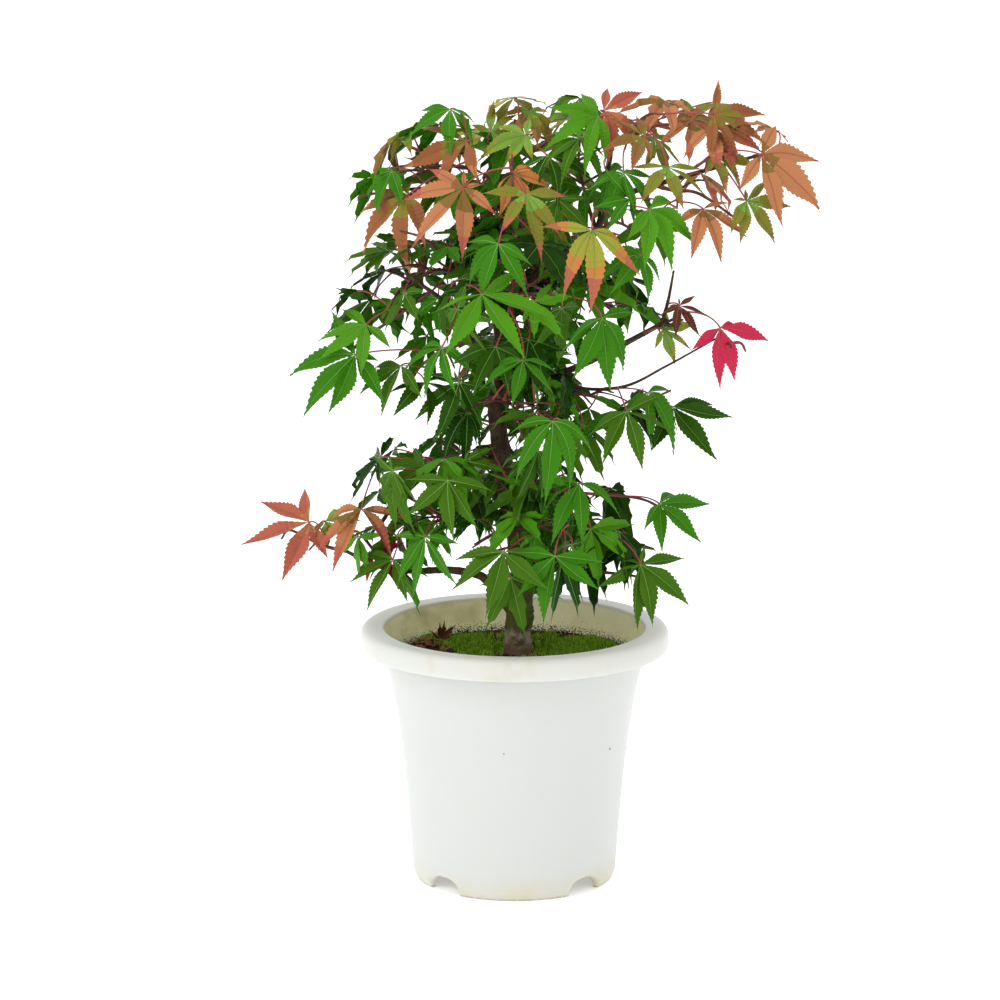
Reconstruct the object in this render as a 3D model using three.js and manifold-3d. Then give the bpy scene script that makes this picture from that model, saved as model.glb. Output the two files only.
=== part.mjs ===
// A young Japanese maple in a white nursery pot.
//
// Millimetres, +Z up, front of the pot towards -Y, +X to the right.
// The origin is on the ground at the centre of the pot's foot.
// Every limb is one tapering tube, and every mass of foliage is one uneven closed
// solid that grows from a root point to a tip. The masses are cut round the wood
// and round each other, so that no two solids touch.

import * as THREE from 'three';
import { mergeVertices } from 'three/addons/utils/BufferGeometryUtils.js';
import Module from 'manifold-3d';

const wasm = await Module();
wasm.setup();

// ---------------------------------------------------------------- driving dimensions

const GAP = 0.3; // clearance between neighbouring solids

const POT_HEIGHT = 100;
const RIM_RADIUS = 60;
const RIM_SKIRT_BOTTOM = 90.6;
const RIM_WALL = 1.9;
const WALL = 2;
const BASE_RADIUS = 39.3; // the body's outer radius where it meets the foot
const BODY_SLOPE = 0.075; // growth of the radius with height
const BODY_FLARE = 4.5; // extra radius at the flare's full height
const FLARE_HEIGHT = 88;
const FOOT_WALL = 3.2;
const FLOOR_UNDERSIDE = 6.4;
const FLOOR_TOP = 8.4;
const POT_SIDES = 36;

const NOTCH_WIDTH = 16;
const NOTCH_HEIGHT = 6.2;
const NOTCH_ANGLES = [45, 135, 225, 315];
const DRAIN_RADIUS = 7;

const SOIL_TOP = 87;
const SOIL_EDGE_TOP = 86;
const MOSS_HEIGHT = 2.6;

// ---------------------------------------------------------------- materials

function material(color, roughness) {
  return new THREE.MeshStandardMaterial({ color, roughness, metalness: 0 });
}

const whitePlastic = () => material(0xe9eae6, 0.35);
const darkSoil = () => material(0x3a2a1e, 0.95);
const greenMoss = () => material(0x4f8a1c, 0.95);
const barkBrown = () => material(0x4a3128, 0.8);
const youngBark = () => material(0x5e2622, 0.6);
const leafGreen = () => material(0x3f8f26, 0.6);
const leafDeepGreen = () => material(0x2c6b18, 0.6);
const leafSalmon = () => material(0xb8704e, 0.6);
const leafOlive = () => material(0x8f8a3a, 0.6);
const leafCrimson = () => material(0xd03858, 0.6);

// ---------------------------------------------------------------- solids and nodes

const group = new THREE.Group();

// A closed geometry with its shared vertices merged becomes a manifold solid.
function solidOf(geometry) {
  geometry.deleteAttribute('normal');
  geometry.deleteAttribute('uv');
  const merged = mergeVertices(geometry, 1e-4);
  return new wasm.Manifold(new wasm.Mesh({
    numProp: 3,
    vertProperties: new Float32Array(merged.attributes.position.array),
    triVerts: new Uint32Array(merged.index.array),
  }));
}

// Cutting may leave crumbs beside the main piece: only the largest is kept.
function largestPiece(solid) {
  const pieces = solid.decompose();
  return pieces.reduce((best, piece) => (piece.volume() > best.volume() ? piece : best));
}

function addNode(name, solid, nodeMaterial) {
  const mesh = solid.getMesh();
  const geometry = new THREE.BufferGeometry();
  geometry.setAttribute('position', new THREE.BufferAttribute(mesh.vertProperties, 3));
  geometry.setIndex(new THREE.BufferAttribute(mesh.triVerts, 1));
  geometry.computeVertexNormals();
  const node = new THREE.Mesh(geometry, nodeMaterial);
  node.name = name;
  group.add(node);
}

function subtractAll(solid, cutters) {
  return cutters.reduce((rest, cutter) => rest.subtract(cutter), solid);
}

// ---------------------------------------------------------------- pot

function bodyRadius(z) {
  return BASE_RADIUS + BODY_SLOPE * z + BODY_FLARE * (z / FLARE_HEIGHT) ** 4;
}

// The pot's wall as a closed section, from the foot up the outside, over the
// turned-down rim and down the inside to the floor.
function potProfile() {
  const bodyHeights = [3, 32, 58, 76, FLARE_HEIGHT];
  const topInner = bodyRadius(FLARE_HEIGHT) + 0.3;
  const points = [
    [BASE_RADIUS - FOOT_WALL, 0],
    [BASE_RADIUS - 1, 0],
    ...bodyHeights.map((z) => [bodyRadius(z), z]),
    [topInner + RIM_WALL, POT_HEIGHT - RIM_WALL - 0.6],
    [RIM_RADIUS - RIM_WALL, POT_HEIGHT - RIM_WALL - 0.9],
    [RIM_RADIUS - RIM_WALL, RIM_SKIRT_BOTTOM],
    [RIM_RADIUS - 0.4, RIM_SKIRT_BOTTOM],
    [RIM_RADIUS, RIM_SKIRT_BOTTOM + 2.4],
    [RIM_RADIUS - 0.4, POT_HEIGHT - 2.6],
    [RIM_RADIUS - 2, POT_HEIGHT - 0.6],
    [RIM_RADIUS - 4.2, POT_HEIGHT],
    [topInner, POT_HEIGHT - 1],
    ...[...bodyHeights].reverse().slice(0, -1).map((z) => [bodyRadius(z) - WALL, z]),
    [bodyRadius(FLOOR_TOP) - WALL, FLOOR_TOP],
    [0, FLOOR_TOP],
    [0, FLOOR_UNDERSIDE],
    [BASE_RADIUS - FOOT_WALL, FLOOR_UNDERSIDE],
  ];
  return points.map(([radius, z]) => new THREE.Vector2(radius, z));
}

// LatheGeometry turns about Y, so the solid is stood up afterwards.
function turned(profile, sides) {
  const closed = [...profile];
  if (profile[0].x > 0) closed.push(profile[0].clone());
  const geometry = new THREE.LatheGeometry(closed, sides);
  geometry.rotateX(Math.PI / 2);
  return facingOut(geometry);
}

// A closed mesh whose signed volume is negative is turned right side out.
function facingOut(geometry) {
  const solid = solidOf(geometry);
  if (solid.volume() > 0) return solid;
  const index = geometry.index;
  for (let i = 0; i < index.count; i += 3) {
    const first = index.getX(i);
    index.setX(i, index.getX(i + 1));
    index.setX(i + 1, first);
  }
  return solidOf(geometry);
}

// An arched drainage notch: a round-topped bar that runs out through the foot.
function notchCutter(degrees) {
  const half = NOTCH_WIDTH / 2;
  const shape = new THREE.Shape();
  shape.moveTo(-half, -1);
  shape.lineTo(half, -1);
  shape.lineTo(half - 0.6, NOTCH_HEIGHT * 0.45);
  shape.quadraticCurveTo(half * 0.75, NOTCH_HEIGHT, 0, NOTCH_HEIGHT);
  shape.quadraticCurveTo(-half * 0.75, NOTCH_HEIGHT, -half + 0.6, NOTCH_HEIGHT * 0.45);
  shape.closePath();
  const cutter = new THREE.ExtrudeGeometry(shape, { depth: 20, bevelEnabled: false, curveSegments: 4 });
  cutter.rotateX(Math.PI / 2);
  cutter.translate(0, BASE_RADIUS + 8, 0);
  cutter.rotateZ(THREE.MathUtils.degToRad(degrees));
  return solidOf(cutter);
}

// The drain hole through the middle of the floor.
function drainCutter() {
  const cutter = new THREE.CylinderGeometry(DRAIN_RADIUS, DRAIN_RADIUS, 12, 12);
  cutter.rotateX(Math.PI / 2);
  cutter.translate(0, 0, FLOOR_TOP - 2);
  return solidOf(cutter);
}

function buildPot() {
  const cutters = [...NOTCH_ANGLES.map(notchCutter), drainCutter()];
  addNode('pot', subtractAll(turned(potProfile(), POT_SIDES), cutters), whitePlastic());
}

// ---------------------------------------------------------------- soil and moss

function buildSoil() {
  const wallHeights = [FLOOR_TOP + GAP, 32, 58, 76];
  const inside = WALL + GAP;
  const profile = [
    [0, FLOOR_TOP + GAP],
    ...wallHeights.map((z) => [bodyRadius(z) - inside, z]),
    [bodyRadius(SOIL_EDGE_TOP) - inside, SOIL_EDGE_TOP],
    [40, SOIL_TOP],
    [0, SOIL_TOP],
  ].map(([radius, z]) => new THREE.Vector2(radius, z));
  addNode('soil', turned(profile, POT_SIDES), darkSoil());
}

// A cushion of moss: a flattened ball with its foot cut flat just above the soil.
function mossCushion(x, y, halfX, halfY, turn) {
  const ball = new THREE.SphereGeometry(1, 12, 8);
  ball.rotateX(Math.PI / 2);
  ball.scale(halfX, halfY, MOSS_HEIGHT * 1.3);
  ball.rotateZ(THREE.MathUtils.degToRad(turn));
  ball.translate(x, y, SOIL_TOP + GAP - MOSS_HEIGHT * 0.3);
  const aboveSoil = new THREE.BoxGeometry(200, 200, 40);
  aboveSoil.translate(0, 0, SOIL_TOP + GAP + 20);
  return solidOf(ball).intersect(solidOf(aboveSoil));
}

// ---------------------------------------------------------------- wood

// A limb: a round bar bent along a smooth curve through its points, tapering from
// its first radius to its last. grow thickens it evenly, for use as a cutter.
function limb({ points, radii, sides = 8, steps = 8, swell = () => 1 }, grow = 0) {
  const path = new THREE.CatmullRomCurve3(points.map((p) => new THREE.Vector3(...p)));
  const frames = path.computeFrenetFrames(steps, false);
  const bar = new THREE.CylinderGeometry(1, 1, 1, sides, steps);
  const position = bar.attributes.position;
  const vertex = new THREE.Vector3();
  for (let i = 0; i < position.count; i += 1) {
    vertex.fromBufferAttribute(position, i);
    const along = vertex.y + 0.5;
    const step = Math.round(along * steps);
    const angle = Math.atan2(vertex.z, vertex.x);
    const onAxis = Math.hypot(vertex.x, vertex.z) < 0.5;
    const taper = THREE.MathUtils.lerp(radii[0], radii[1], along);
    const radius = onAxis ? 0 : taper * swell(along, angle) + grow;
    const centre = path.getPointAt(along);
    centre.addScaledVector(frames.normals[step], radius * Math.cos(angle));
    centre.addScaledVector(frames.binormals[step], radius * Math.sin(angle));
    if (grow > 0 && step === 0) centre.addScaledVector(frames.tangents[0], -grow);
    if (grow > 0 && step === steps) centre.addScaledVector(frames.tangents[steps], grow);
    position.setXYZ(i, centre.x, centre.y, centre.z);
  }
  return facingOut(bar);
}

// The root flare: four low ribs at the foot of the trunk that die away upwards.
const FLARE_LENGTH = 0.12; // share of the trunk's length
function rootFlare(along, angle) {
  const fade = Math.max(0, 1 - along / FLARE_LENGTH);
  return 1 + fade * fade * (0.1 + 0.06 * Math.cos(4 * angle + 0.6));
}

const TRUNK_FORK = [-4.5, 3, 214];
const LOW_BOUGH_BEND = [-15, 3, 119];

const limbs = {
  trunk: {
    points: [
      [1.5, 0, SOIL_TOP + GAP], [1.3, 0, 96], [1.6, 0, 106], [3, 0.5, 117], [2, 1, 130],
      [-1.6, 2, 145], [-5, 3, 166], [-7.4, 3, 191], TRUNK_FORK,
    ],
    radii: [5.2, 2.7],
    sides: 10,
    steps: 14,
    swell: rootFlare,
  },
  leader_right: {
    points: [TRUNK_FORK, [6.5, 3, 234], [18, 3, 243], [31, 4, 252.5], [34, 4, 268], [37, 4, 284]],
    radii: [2.3, 1],
    sides: 7,
    steps: 10,
  },
  leader_left: {
    points: [TRUNK_FORK, [-13, 4, 238], [-16, 4, 262], [-18, 3, 292]],
    radii: [2, 0.9],
    sides: 7,
    steps: 7,
  },
  low_left_bough_rise: {
    points: [[0, 0, 103], [-5.5, 1, 111], [-10.5, 2, 116.5], LOW_BOUGH_BEND],
    radii: [2.1, 1.4],
    steps: 5,
  },
  low_left_bough_run: {
    points: [LOW_BOUGH_BEND, [-26, 6, 120], [-40, 11, 118.5], [-54, 16, 119.5]],
    radii: [1.35, 0.9],
    steps: 6,
  },
  right_bough: {
    points: [[-6, 1, 193], [20, -5, 200], [38, -8, 209], [56, -10, 219]],
    radii: [1.6, 0.9],
    steps: 6,
  },
  right_bough_twig: {
    points: [[56, -10, 219.5], [58, -10, 228], [60, -9, 239]],
    radii: [0.8, 0.5],
    sides: 6,
    steps: 4,
  },
  crimson_leaf_twig: {
    points: [[42, -16, 195], [57, -19, 204], [79, -22, 216]],
    radii: [0.8, 0.5],
    sides: 6,
    steps: 4,
  },
  top_right_bough: {
    points: [[34, 4, 266], [52, -8, 271], [80, -24, 281]],
    radii: [1.2, 0.7],
    sides: 6,
    steps: 5,
  },
};

// The foliage is cut round a coarser bar, grown so that it clears the limb itself.
const COARSE = { sides: 5, swell: () => 1.24 };
const COARSE_GROWTH = 0.5;

// Each limb is cut clear of the ones it springs from.
const springsFrom = {
  leader_right: ['trunk'],
  leader_left: ['trunk', 'leader_right'],
  low_left_bough_rise: ['trunk'],
  low_left_bough_run: ['low_left_bough_rise'],
  right_bough: ['trunk'],
  right_bough_twig: ['right_bough'],
  top_right_bough: ['leader_right'],
};

// ---------------------------------------------------------------- foliage masses

// Each mass grows from root to tip. across is its full width, deep its full
// thickness, both at right angles to that line; lumps is the unevenness of its
// surface, as a share of the radius, and seed sets where the lumps fall.
const masses = {
  top_left_mass: { root: [-4, 4, 277], tip: [-54, 0, 272], across: 66, deep: 42, seed: 1 },
  top_dome_mass: { root: [0, 0, 248], tip: [1, -4, 304], across: 38, deep: 34, seed: 2 },
  top_middle_mass: { root: [24, 8, 252], tip: [25, 8, 301], across: 36, deep: 42, seed: 3 },
  top_right_pad: { root: [36, 0, 286], tip: [77, -18, 297], across: 52, deep: 24, seed: 4 },
  top_right_tip_pad: { root: [62, -22, 288], tip: [96, -30, 292], across: 34, deep: 28, seed: 5 },
  far_right_spray: { root: [84, -32, 290], tip: [112, -45, 274], across: 24, deep: 13, seed: 6 },
  right_hanging_spray: { root: [42, -12, 275], tip: [101, -44, 254], across: 38, deep: 24, seed: 7 },
  right_underside_pad: { root: [14, -18, 262], tip: [67, -34, 248], across: 38, deep: 22, seed: 8 },
  upper_left_mass: { root: [-5, 1, 242], tip: [-63, -4, 224], across: 62, deep: 52, seed: 9 },
  upper_front_mass: { root: [2, -3, 238], tip: [-4, -64, 226], across: 64, deep: 58, seed: 10 },
  upper_back_mass: { root: [0, 6, 246], tip: [8, 66, 240], across: 76, deep: 62, seed: 11 },
  upper_right_mass: { root: [8, 5, 231], tip: [54, 8, 215], across: 50, deep: 40, seed: 12 },
  left_spray: { root: [-44, 0, 267], tip: [-72, 0, 262], across: 22, deep: 9, seed: 30 },
  left_tip_spray: { root: [-38, -10, 222], tip: [-83, -20, 194], across: 26, deep: 16, seed: 13 },
  left_hanging_spray: { root: [-26, -6, 214], tip: [-48, -8, 182], across: 26, deep: 20, seed: 14 },
  withered_spray: { root: [57, -12, 211], tip: [69, -14, 229], across: 14, deep: 13, seed: 15 },
  crimson_leaf_spray: { root: [74, -20, 219], tip: [97, -26, 203], across: 22, deep: 10, seed: 16 },
  middle_front_mass: { root: [-4, -2, 192], tip: [6, -60, 176], across: 58, deep: 54, seed: 17 },
  middle_right_mass: { root: [3, 3, 194], tip: [66, -2, 173], across: 56, deep: 44, seed: 18 },
  middle_back_mass: { root: [-5, 6, 192], tip: [-8, 64, 188], across: 66, deep: 54, seed: 19 },
  middle_left_mass: { root: [-8, 1, 168], tip: [-60, -4, 147], across: 60, deep: 48, seed: 20 },
  low_front_mass: { root: [0, -2, 146], tip: [4, -58, 126], across: 56, deep: 44, seed: 21 },
  low_right_mass: { root: [5, 2, 148], tip: [45, 0, 128], across: 52, deep: 48, seed: 22 },
  low_back_mass: { root: [0, 5, 150], tip: [2, 60, 134], across: 62, deep: 50, seed: 23 },
  low_left_mass: { root: [-10, 0, 142], tip: [-62, 10, 127], across: 46, deep: 28, seed: 24 },
  low_left_pad: { root: [-44, 10, 125], tip: [-82, 28, 136], across: 30, deep: 24, seed: 25 },
  low_left_tip_spray: { root: [-72, 26, 133], tip: [-109, 45, 120], across: 20, deep: 11, seed: 26 },
  low_left_hanging_spray: { root: [-42, 8, 128], tip: [-48, 6, 105], across: 15, deep: 12, seed: 27 },
  right_upper_spray: { root: [28, -8, 156], tip: [74, -20, 140], across: 26, deep: 14, seed: 28 },
  right_lower_spray: { root: [34, -10, 134], tip: [64, -18, 100], across: 24, deep: 18, seed: 29 },
};

const FULL_MASS = { sides: 10, rings: 7, lumps: 0.2 };
const THIN_MASS = { sides: 8, rings: 5, lumps: 0.12 };
const THIN_DEPTH = 25; // masses no deeper than this are thin

// The lumps are three cosine waves round the mass and along it, with phases from
// the seed, so that every mass has a surface of its own.
function lump(angle, along, seed) {
  const phase = seed * 2.4;
  const wave = Math.cos(3 * angle + phase) * Math.cos(5 * along + phase * 1.7)
    + 0.7 * Math.cos(5 * angle - phase * 1.3 + 4 * along)
    + 0.5 * Math.cos(2 * angle + 9 * along + phase * 0.6);
  return wave / 1.6;
}

// A ball is drawn out along the line from root to tip: blunt at the root, widest
// before the middle and narrower towards the tip, which it reaches exactly.
function foliageMass({ root, tip, across, deep, seed }, grow = 0) {
  const start = new THREE.Vector3(...root);
  const line = new THREE.Vector3(...tip).sub(start);
  const length = line.length();
  const forward = line.clone().normalize();
  const up = Math.abs(forward.z) > 0.8 ? new THREE.Vector3(0, 1, 0) : new THREE.Vector3(0, 0, 1);
  const side = new THREE.Vector3().crossVectors(forward, up).normalize();
  const above = new THREE.Vector3().crossVectors(side, forward).normalize();
  const { sides, rings, lumps } = deep > THIN_DEPTH ? FULL_MASS : THIN_MASS;

  const ball = new THREE.SphereGeometry(1, sides, rings);
  const position = ball.attributes.position;
  const vertex = new THREE.Vector3();
  for (let i = 0; i < position.count; i += 1) {
    vertex.fromBufferAttribute(position, i);
    const along = (1 - vertex.y) / 2;
    const ring = Math.hypot(vertex.x, vertex.z);
    const angle = Math.atan2(vertex.z, vertex.x);
    const spread = ring < 1e-6 ? 0 : ring ** 0.8 * (1.12 - 0.34 * along);
    const uneven = spread * (1 + lumps * lump(angle, along, seed));
    const point = start.clone().addScaledVector(forward, along * length + grow * (2 * along - 1));
    point.addScaledVector(side, Math.cos(angle) * (uneven * across / 2 + (spread > 0 ? grow : 0)));
    point.addScaledVector(above, Math.sin(angle) * (uneven * deep / 2 + (spread > 0 ? grow : 0)));
    position.setXYZ(i, point.x, point.y, point.z);
  }
  return facingOut(ball);
}

const massMaterials = {
  top_left_mass: leafOlive,
  top_right_pad: leafSalmon,
  top_right_tip_pad: leafSalmon,
  far_right_spray: leafSalmon,
  right_hanging_spray: leafSalmon,
  right_underside_pad: leafOlive,
  withered_spray: leafSalmon,
  crimson_leaf_spray: leafCrimson,
  low_left_pad: leafSalmon,
  low_left_tip_spray: leafSalmon,
  upper_back_mass: leafDeepGreen,
  middle_back_mass: leafDeepGreen,
  low_back_mass: leafDeepGreen,
};

// ---------------------------------------------------------------- assembly

buildPot();
buildSoil();

const woodCutters = [];
for (const [name, spec] of Object.entries(limbs)) {
  const parents = (springsFrom[name] ?? []).map((parent) => limb(limbs[parent], GAP));
  const wood = largestPiece(subtractAll(limb(spec), parents));
  addNode(name, wood, spec.sides === 6 ? youngBark() : barkBrown());
  woodCutters.push(limb({ ...spec, ...COARSE }, COARSE_GROWTH));
}

const trunkCutter = limb(limbs.trunk, GAP);
addNode('moss_left', mossCushion(-22, 17, 17, 12, -28).subtract(trunkCutter), greenMoss());
addNode('moss_right', mossCushion(24, 15, 16, 12, 24).subtract(trunkCutter), greenMoss());

const massCutters = [];
for (const [name, spec] of Object.entries(masses)) {
  const raw = foliageMass(spec);
  const leaves = largestPiece(subtractAll(raw, [...woodCutters, ...massCutters]));
  addNode(name, leaves, (massMaterials[name] ?? leafGreen)());
  massCutters.push(foliageMass(spec, GAP));
}

export default group;
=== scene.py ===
"""A young Japanese maple in a white nursery pot, with its leaves on the turn.

Sizes are in millimetres until a mesh is made, in the same frame as the CAD model: the
origin is on the ground at the middle of the pot's foot, +Z is up, and the front of the
plant looks along -Y. Blender's own values, such as the places of the camera and lights and
all lengths in a material, are in metres.
"""

import math

import bpy
import numpy as np
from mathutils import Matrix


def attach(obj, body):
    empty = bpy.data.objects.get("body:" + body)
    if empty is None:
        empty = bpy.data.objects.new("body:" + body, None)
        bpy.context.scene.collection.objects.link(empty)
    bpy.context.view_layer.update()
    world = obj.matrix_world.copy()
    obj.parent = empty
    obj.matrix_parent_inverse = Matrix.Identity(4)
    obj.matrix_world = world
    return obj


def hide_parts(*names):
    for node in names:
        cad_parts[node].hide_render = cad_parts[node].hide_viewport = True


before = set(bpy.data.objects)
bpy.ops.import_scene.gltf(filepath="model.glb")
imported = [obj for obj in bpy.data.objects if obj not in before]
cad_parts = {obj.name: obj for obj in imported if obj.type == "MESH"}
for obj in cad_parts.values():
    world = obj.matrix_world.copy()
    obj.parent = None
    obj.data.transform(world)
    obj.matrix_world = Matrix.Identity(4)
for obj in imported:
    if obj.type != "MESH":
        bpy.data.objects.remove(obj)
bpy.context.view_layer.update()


# ------------------------------------------------------------------ camera, floor and light
# The plant stands on a plain white sheet in soft light from big diffusers, seen
# through a long lens from a little above the crown.

camera_data = bpy.data.cameras.new("camera")
camera_data.lens = 128.07
camera_data.sensor_width = 36
camera_data.clip_end = 100
camera = bpy.data.objects.new("camera", camera_data)
camera.location = (0, -1.343, 0.4138)
looking_down, turned_left = 11.16, 0.24
camera.rotation_euler = (math.radians(90 - looking_down), 0, math.radians(turned_left))
bpy.context.scene.collection.objects.link(camera)
bpy.context.scene.camera = camera
bpy.context.scene.view_settings.view_transform = "Standard"


def linear(hex_colour):
    """sRGB hex to linear: c/12.92 up to 0.04045, and ((c + 0.055)/1.055) to the power 2.4 above."""
    c = np.array([int(hex_colour[i : i + 2], 16) for i in (1, 3, 5)]) / 255
    c = np.where(c <= 0.04045, c / 12.92, ((c + 0.055) / 1.055) ** 2.4)
    return (*c.tolist(), 1.0)


def surface(name, colour, roughness, **settings):
    """A material of one Principled shader. Returns the material, its tree and the shader."""
    material = bpy.data.materials.new(name)
    material.use_nodes = True
    shader = material.node_tree.nodes["Principled BSDF"]
    shader.inputs["Base Color"].default_value = linear(colour)
    shader.inputs["Roughness"].default_value = roughness
    for socket, value in settings.items():
        shader.inputs[socket.replace("_", " ")].default_value = value
    return material, material.node_tree, shader


def softbox(name, place, aim, size, power):
    """A square area light at a place, turned to face a point."""
    data = bpy.data.lights.new(name, "AREA")
    data.size = size
    data.energy = power
    light = bpy.data.objects.new(name, data)
    light.location = place
    direction = np.array(aim) - np.array(place)
    flat = math.hypot(direction[0], direction[1])
    light.rotation_euler = (math.atan2(flat, -direction[2]), 0, math.atan2(-direction[0], direction[1]))
    bpy.context.scene.collection.objects.link(light)


middle_of_plant = (0, 0, 0.15)
softbox("key_light", (-1.1, -1.1, 1.3), middle_of_plant, size=0.9, power=7)
softbox("top_light", (-0.2, 0.3, 1.8), middle_of_plant, size=1.2, power=4)

world = bpy.data.worlds.new("white_room")
world.use_nodes = True
world.node_tree.nodes["Background"].inputs["Color"].default_value = (1, 1, 1, 1)
world.node_tree.nodes["Background"].inputs["Strength"].default_value = 1.0
bpy.context.scene.world = world

# Matt white paper. A little light of its own keeps the sheet white where the plant shades it.
glow = dict(Emission_Color=(1, 1, 1, 1), Emission_Strength=0.3)
floor_paper, _, _ = surface("white_paper_sheet", "#FAFAFA", 0.9, **glow)
floor_mesh = bpy.data.meshes.new("floor")
sheet_half = 30
sheet_corners = [(x * sheet_half, y * sheet_half, 0) for x, y in ((-1, -1), (1, -1), (1, 1), (-1, 1))]
floor_mesh.from_pydata(sheet_corners, [], [(0, 1, 2, 3)])
floor_mesh.materials.append(floor_paper)
floor = bpy.data.objects.new("floor", floor_mesh)
bpy.context.scene.collection.objects.link(floor)


# ------------------------------------------------------------------ pot
# A one-piece injection-moulded polypropylene nursery pot: a tapering wall, a rim
# turned outwards and down, a raised floor with a drain hole, and a foot ring with
# four arched drainage notches.

POT_TOP, RIM_RADIUS = 100, 60
WALL_THICKNESS = 2
FOOT_RADIUS, FOOT_MIDDLE, FOOT_INSIDE = 38.3, 37.2, 36.1
FLOOR_TOP, FLOOR_UNDERSIDE, FLOOR_EDGE = 8.4, 6.4, 37.9
DRAIN_RADIUS = 7
NOTCH_HALF, NOTCH_HEIGHT = 8, 6


def body_radius(z):
    """The wall's outer radius at a height: a straight taper and a fourth-power flare at the top."""
    return 39.3 + 0.075 * z + 4.5 * (z / 88) ** 4


def rounded_loop(corners, radii, steps=5, spacing=3.0):
    """A closed path with its corners rounded: each corner becomes a parabola that starts its
    radius before the corner and ends its radius after it. Long sides get a point every spacing."""
    c = np.array(corners, float)
    r = np.array(radii, float)[:, None]
    before = np.roll(c, 1, 0) - c
    after = np.roll(c, -1, 0) - c
    a = c + before / np.linalg.norm(before, axis=1, keepdims=True) * r
    b = c + after / np.linalg.norm(after, axis=1, keepdims=True) * r
    t = np.linspace(0, 1, steps)[None, :, None]
    path = ((1 - t) ** 2 * a[:, None] + 2 * t * (1 - t) * c[:, None] + t**2 * b[:, None]).reshape(-1, 2)
    path = np.vstack([path, path[:1]])
    length = np.concatenate([[0], np.cumsum(np.linalg.norm(np.diff(path, axis=0), axis=1))])
    keep = np.concatenate([[True], np.diff(length) > 1e-4])
    path, length = path[keep], length[keep]
    every = np.union1d(length, np.arange(0, length[-1], spacing))[:-1]
    return np.stack([np.interp(every, length, path[:, k]) for k in (0, 1)], -1)


def grid(rows, columns, wrap_rows=False, wrap_columns=False):
    """The quads of a grid of points numbered row by row; a wrapped side joins its last line to its first."""
    r = np.arange(rows if wrap_rows else rows - 1)[:, None]
    c = np.arange(columns if wrap_columns else columns - 1)[None, :]
    up, across = (r + 1) % rows, (c + 1) % columns
    corners = (r * columns + c, r * columns + across, up * columns + across, up * columns + c)
    return np.stack(np.broadcast_arrays(*corners), -1).reshape(-1, 4)


def make_piece(name, points, faces, materials, nodes=(), face_materials=None, smooth=True):
    """One mesh object, in metres, from points in millimetres and arrays of quads and triangles.
    Points that no face uses are dropped. It rides on the root body and stands for CAD nodes."""
    loops = np.concatenate([f.ravel() for f in faces])
    sizes = np.concatenate([np.full(len(f), f.shape[1]) for f in faces])
    used, loops = np.unique(loops, return_inverse=True)
    mesh = bpy.data.meshes.new(name)
    mesh.vertices.add(len(used))
    mesh.vertices.foreach_set("co", (np.asarray(points).reshape(-1, 3)[used] / 1000).ravel())
    mesh.loops.add(len(loops))
    mesh.loops.foreach_set("vertex_index", loops.ravel())
    mesh.polygons.add(len(sizes))
    mesh.polygons.foreach_set("loop_start", np.concatenate([[0], np.cumsum(sizes)[:-1]]))
    mesh.polygons.foreach_set("use_smooth", np.full(len(sizes), smooth))
    for material in materials:
        mesh.materials.append(material)
    if face_materials is not None:
        mesh.polygons.foreach_set("material_index", face_materials)
    mesh.update(calc_edges=True)
    mesh.validate()
    made = bpy.data.objects.new(name, mesh)
    bpy.context.scene.collection.objects.link(made)
    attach(made, "root")
    if nodes:
        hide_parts(*nodes)
    return made


def add(tree, kind, inputs=(), **settings):
    """Adds one shader node: settings are its properties, and inputs are its sockets, each by its
    name or number, given a value or linked from another node's output."""
    made = tree.nodes.new(kind)
    for name, value in settings.items():
        setattr(made, name, value)
    for name, value in dict(inputs).items():
        if isinstance(value, bpy.types.NodeSocket):
            tree.links.new(value, made.inputs[name])
        else:
            made.inputs[name].default_value = value
    return made


# The section's loop starts midway under the foot ring and goes up the outside, over the
# turned-down rim, down the inside, over the floor to the drain hole and back along the floor's
# underside. Each corner has its own rounding.
pot_heights = np.linspace(3, 88, 18)
outside = np.stack([body_radius(pot_heights), pot_heights], -1)
inside = np.stack([body_radius(pot_heights[::-1]) - WALL_THICKNESS, pot_heights[::-1]], -1)[:-1]
foot_corners, foot_rounding = [[FOOT_MIDDLE, 0], [FOOT_RADIUS, 0]], [0.1, 0.7]
rim_corners = [
    [52.3, 97.3], [58.0, 96.8], [58.0, 92.1], [59.3, 91.2],
    [RIM_RADIUS, 94.6], [59.3, 99.2], [55.4, POT_TOP], [50.7, 99.3],
]
rim_rounding = [0.8, 0.8, 0.5, 0.7, 2.0, 2.3, 1.4, 0.7]
floor_corners = [
    [FLOOR_EDGE, FLOOR_TOP], [DRAIN_RADIUS, FLOOR_TOP], [DRAIN_RADIUS, FLOOR_UNDERSIDE],
    [FOOT_INSIDE, FLOOR_UNDERSIDE], [FOOT_INSIDE, 0],
]
floor_rounding = [0.8, 0.5, 0.5, 0.4, 0.7]
up_rounding, down_rounding = [0.4] * len(outside), [0.4] * len(inside)
pot_corners = np.vstack([foot_corners, outside, rim_corners, inside, floor_corners])
pot_rounding = foot_rounding + up_rounding + rim_rounding + down_rounding + floor_rounding
pot_profile = rounded_loop(pot_corners, pot_rounding)

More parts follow.
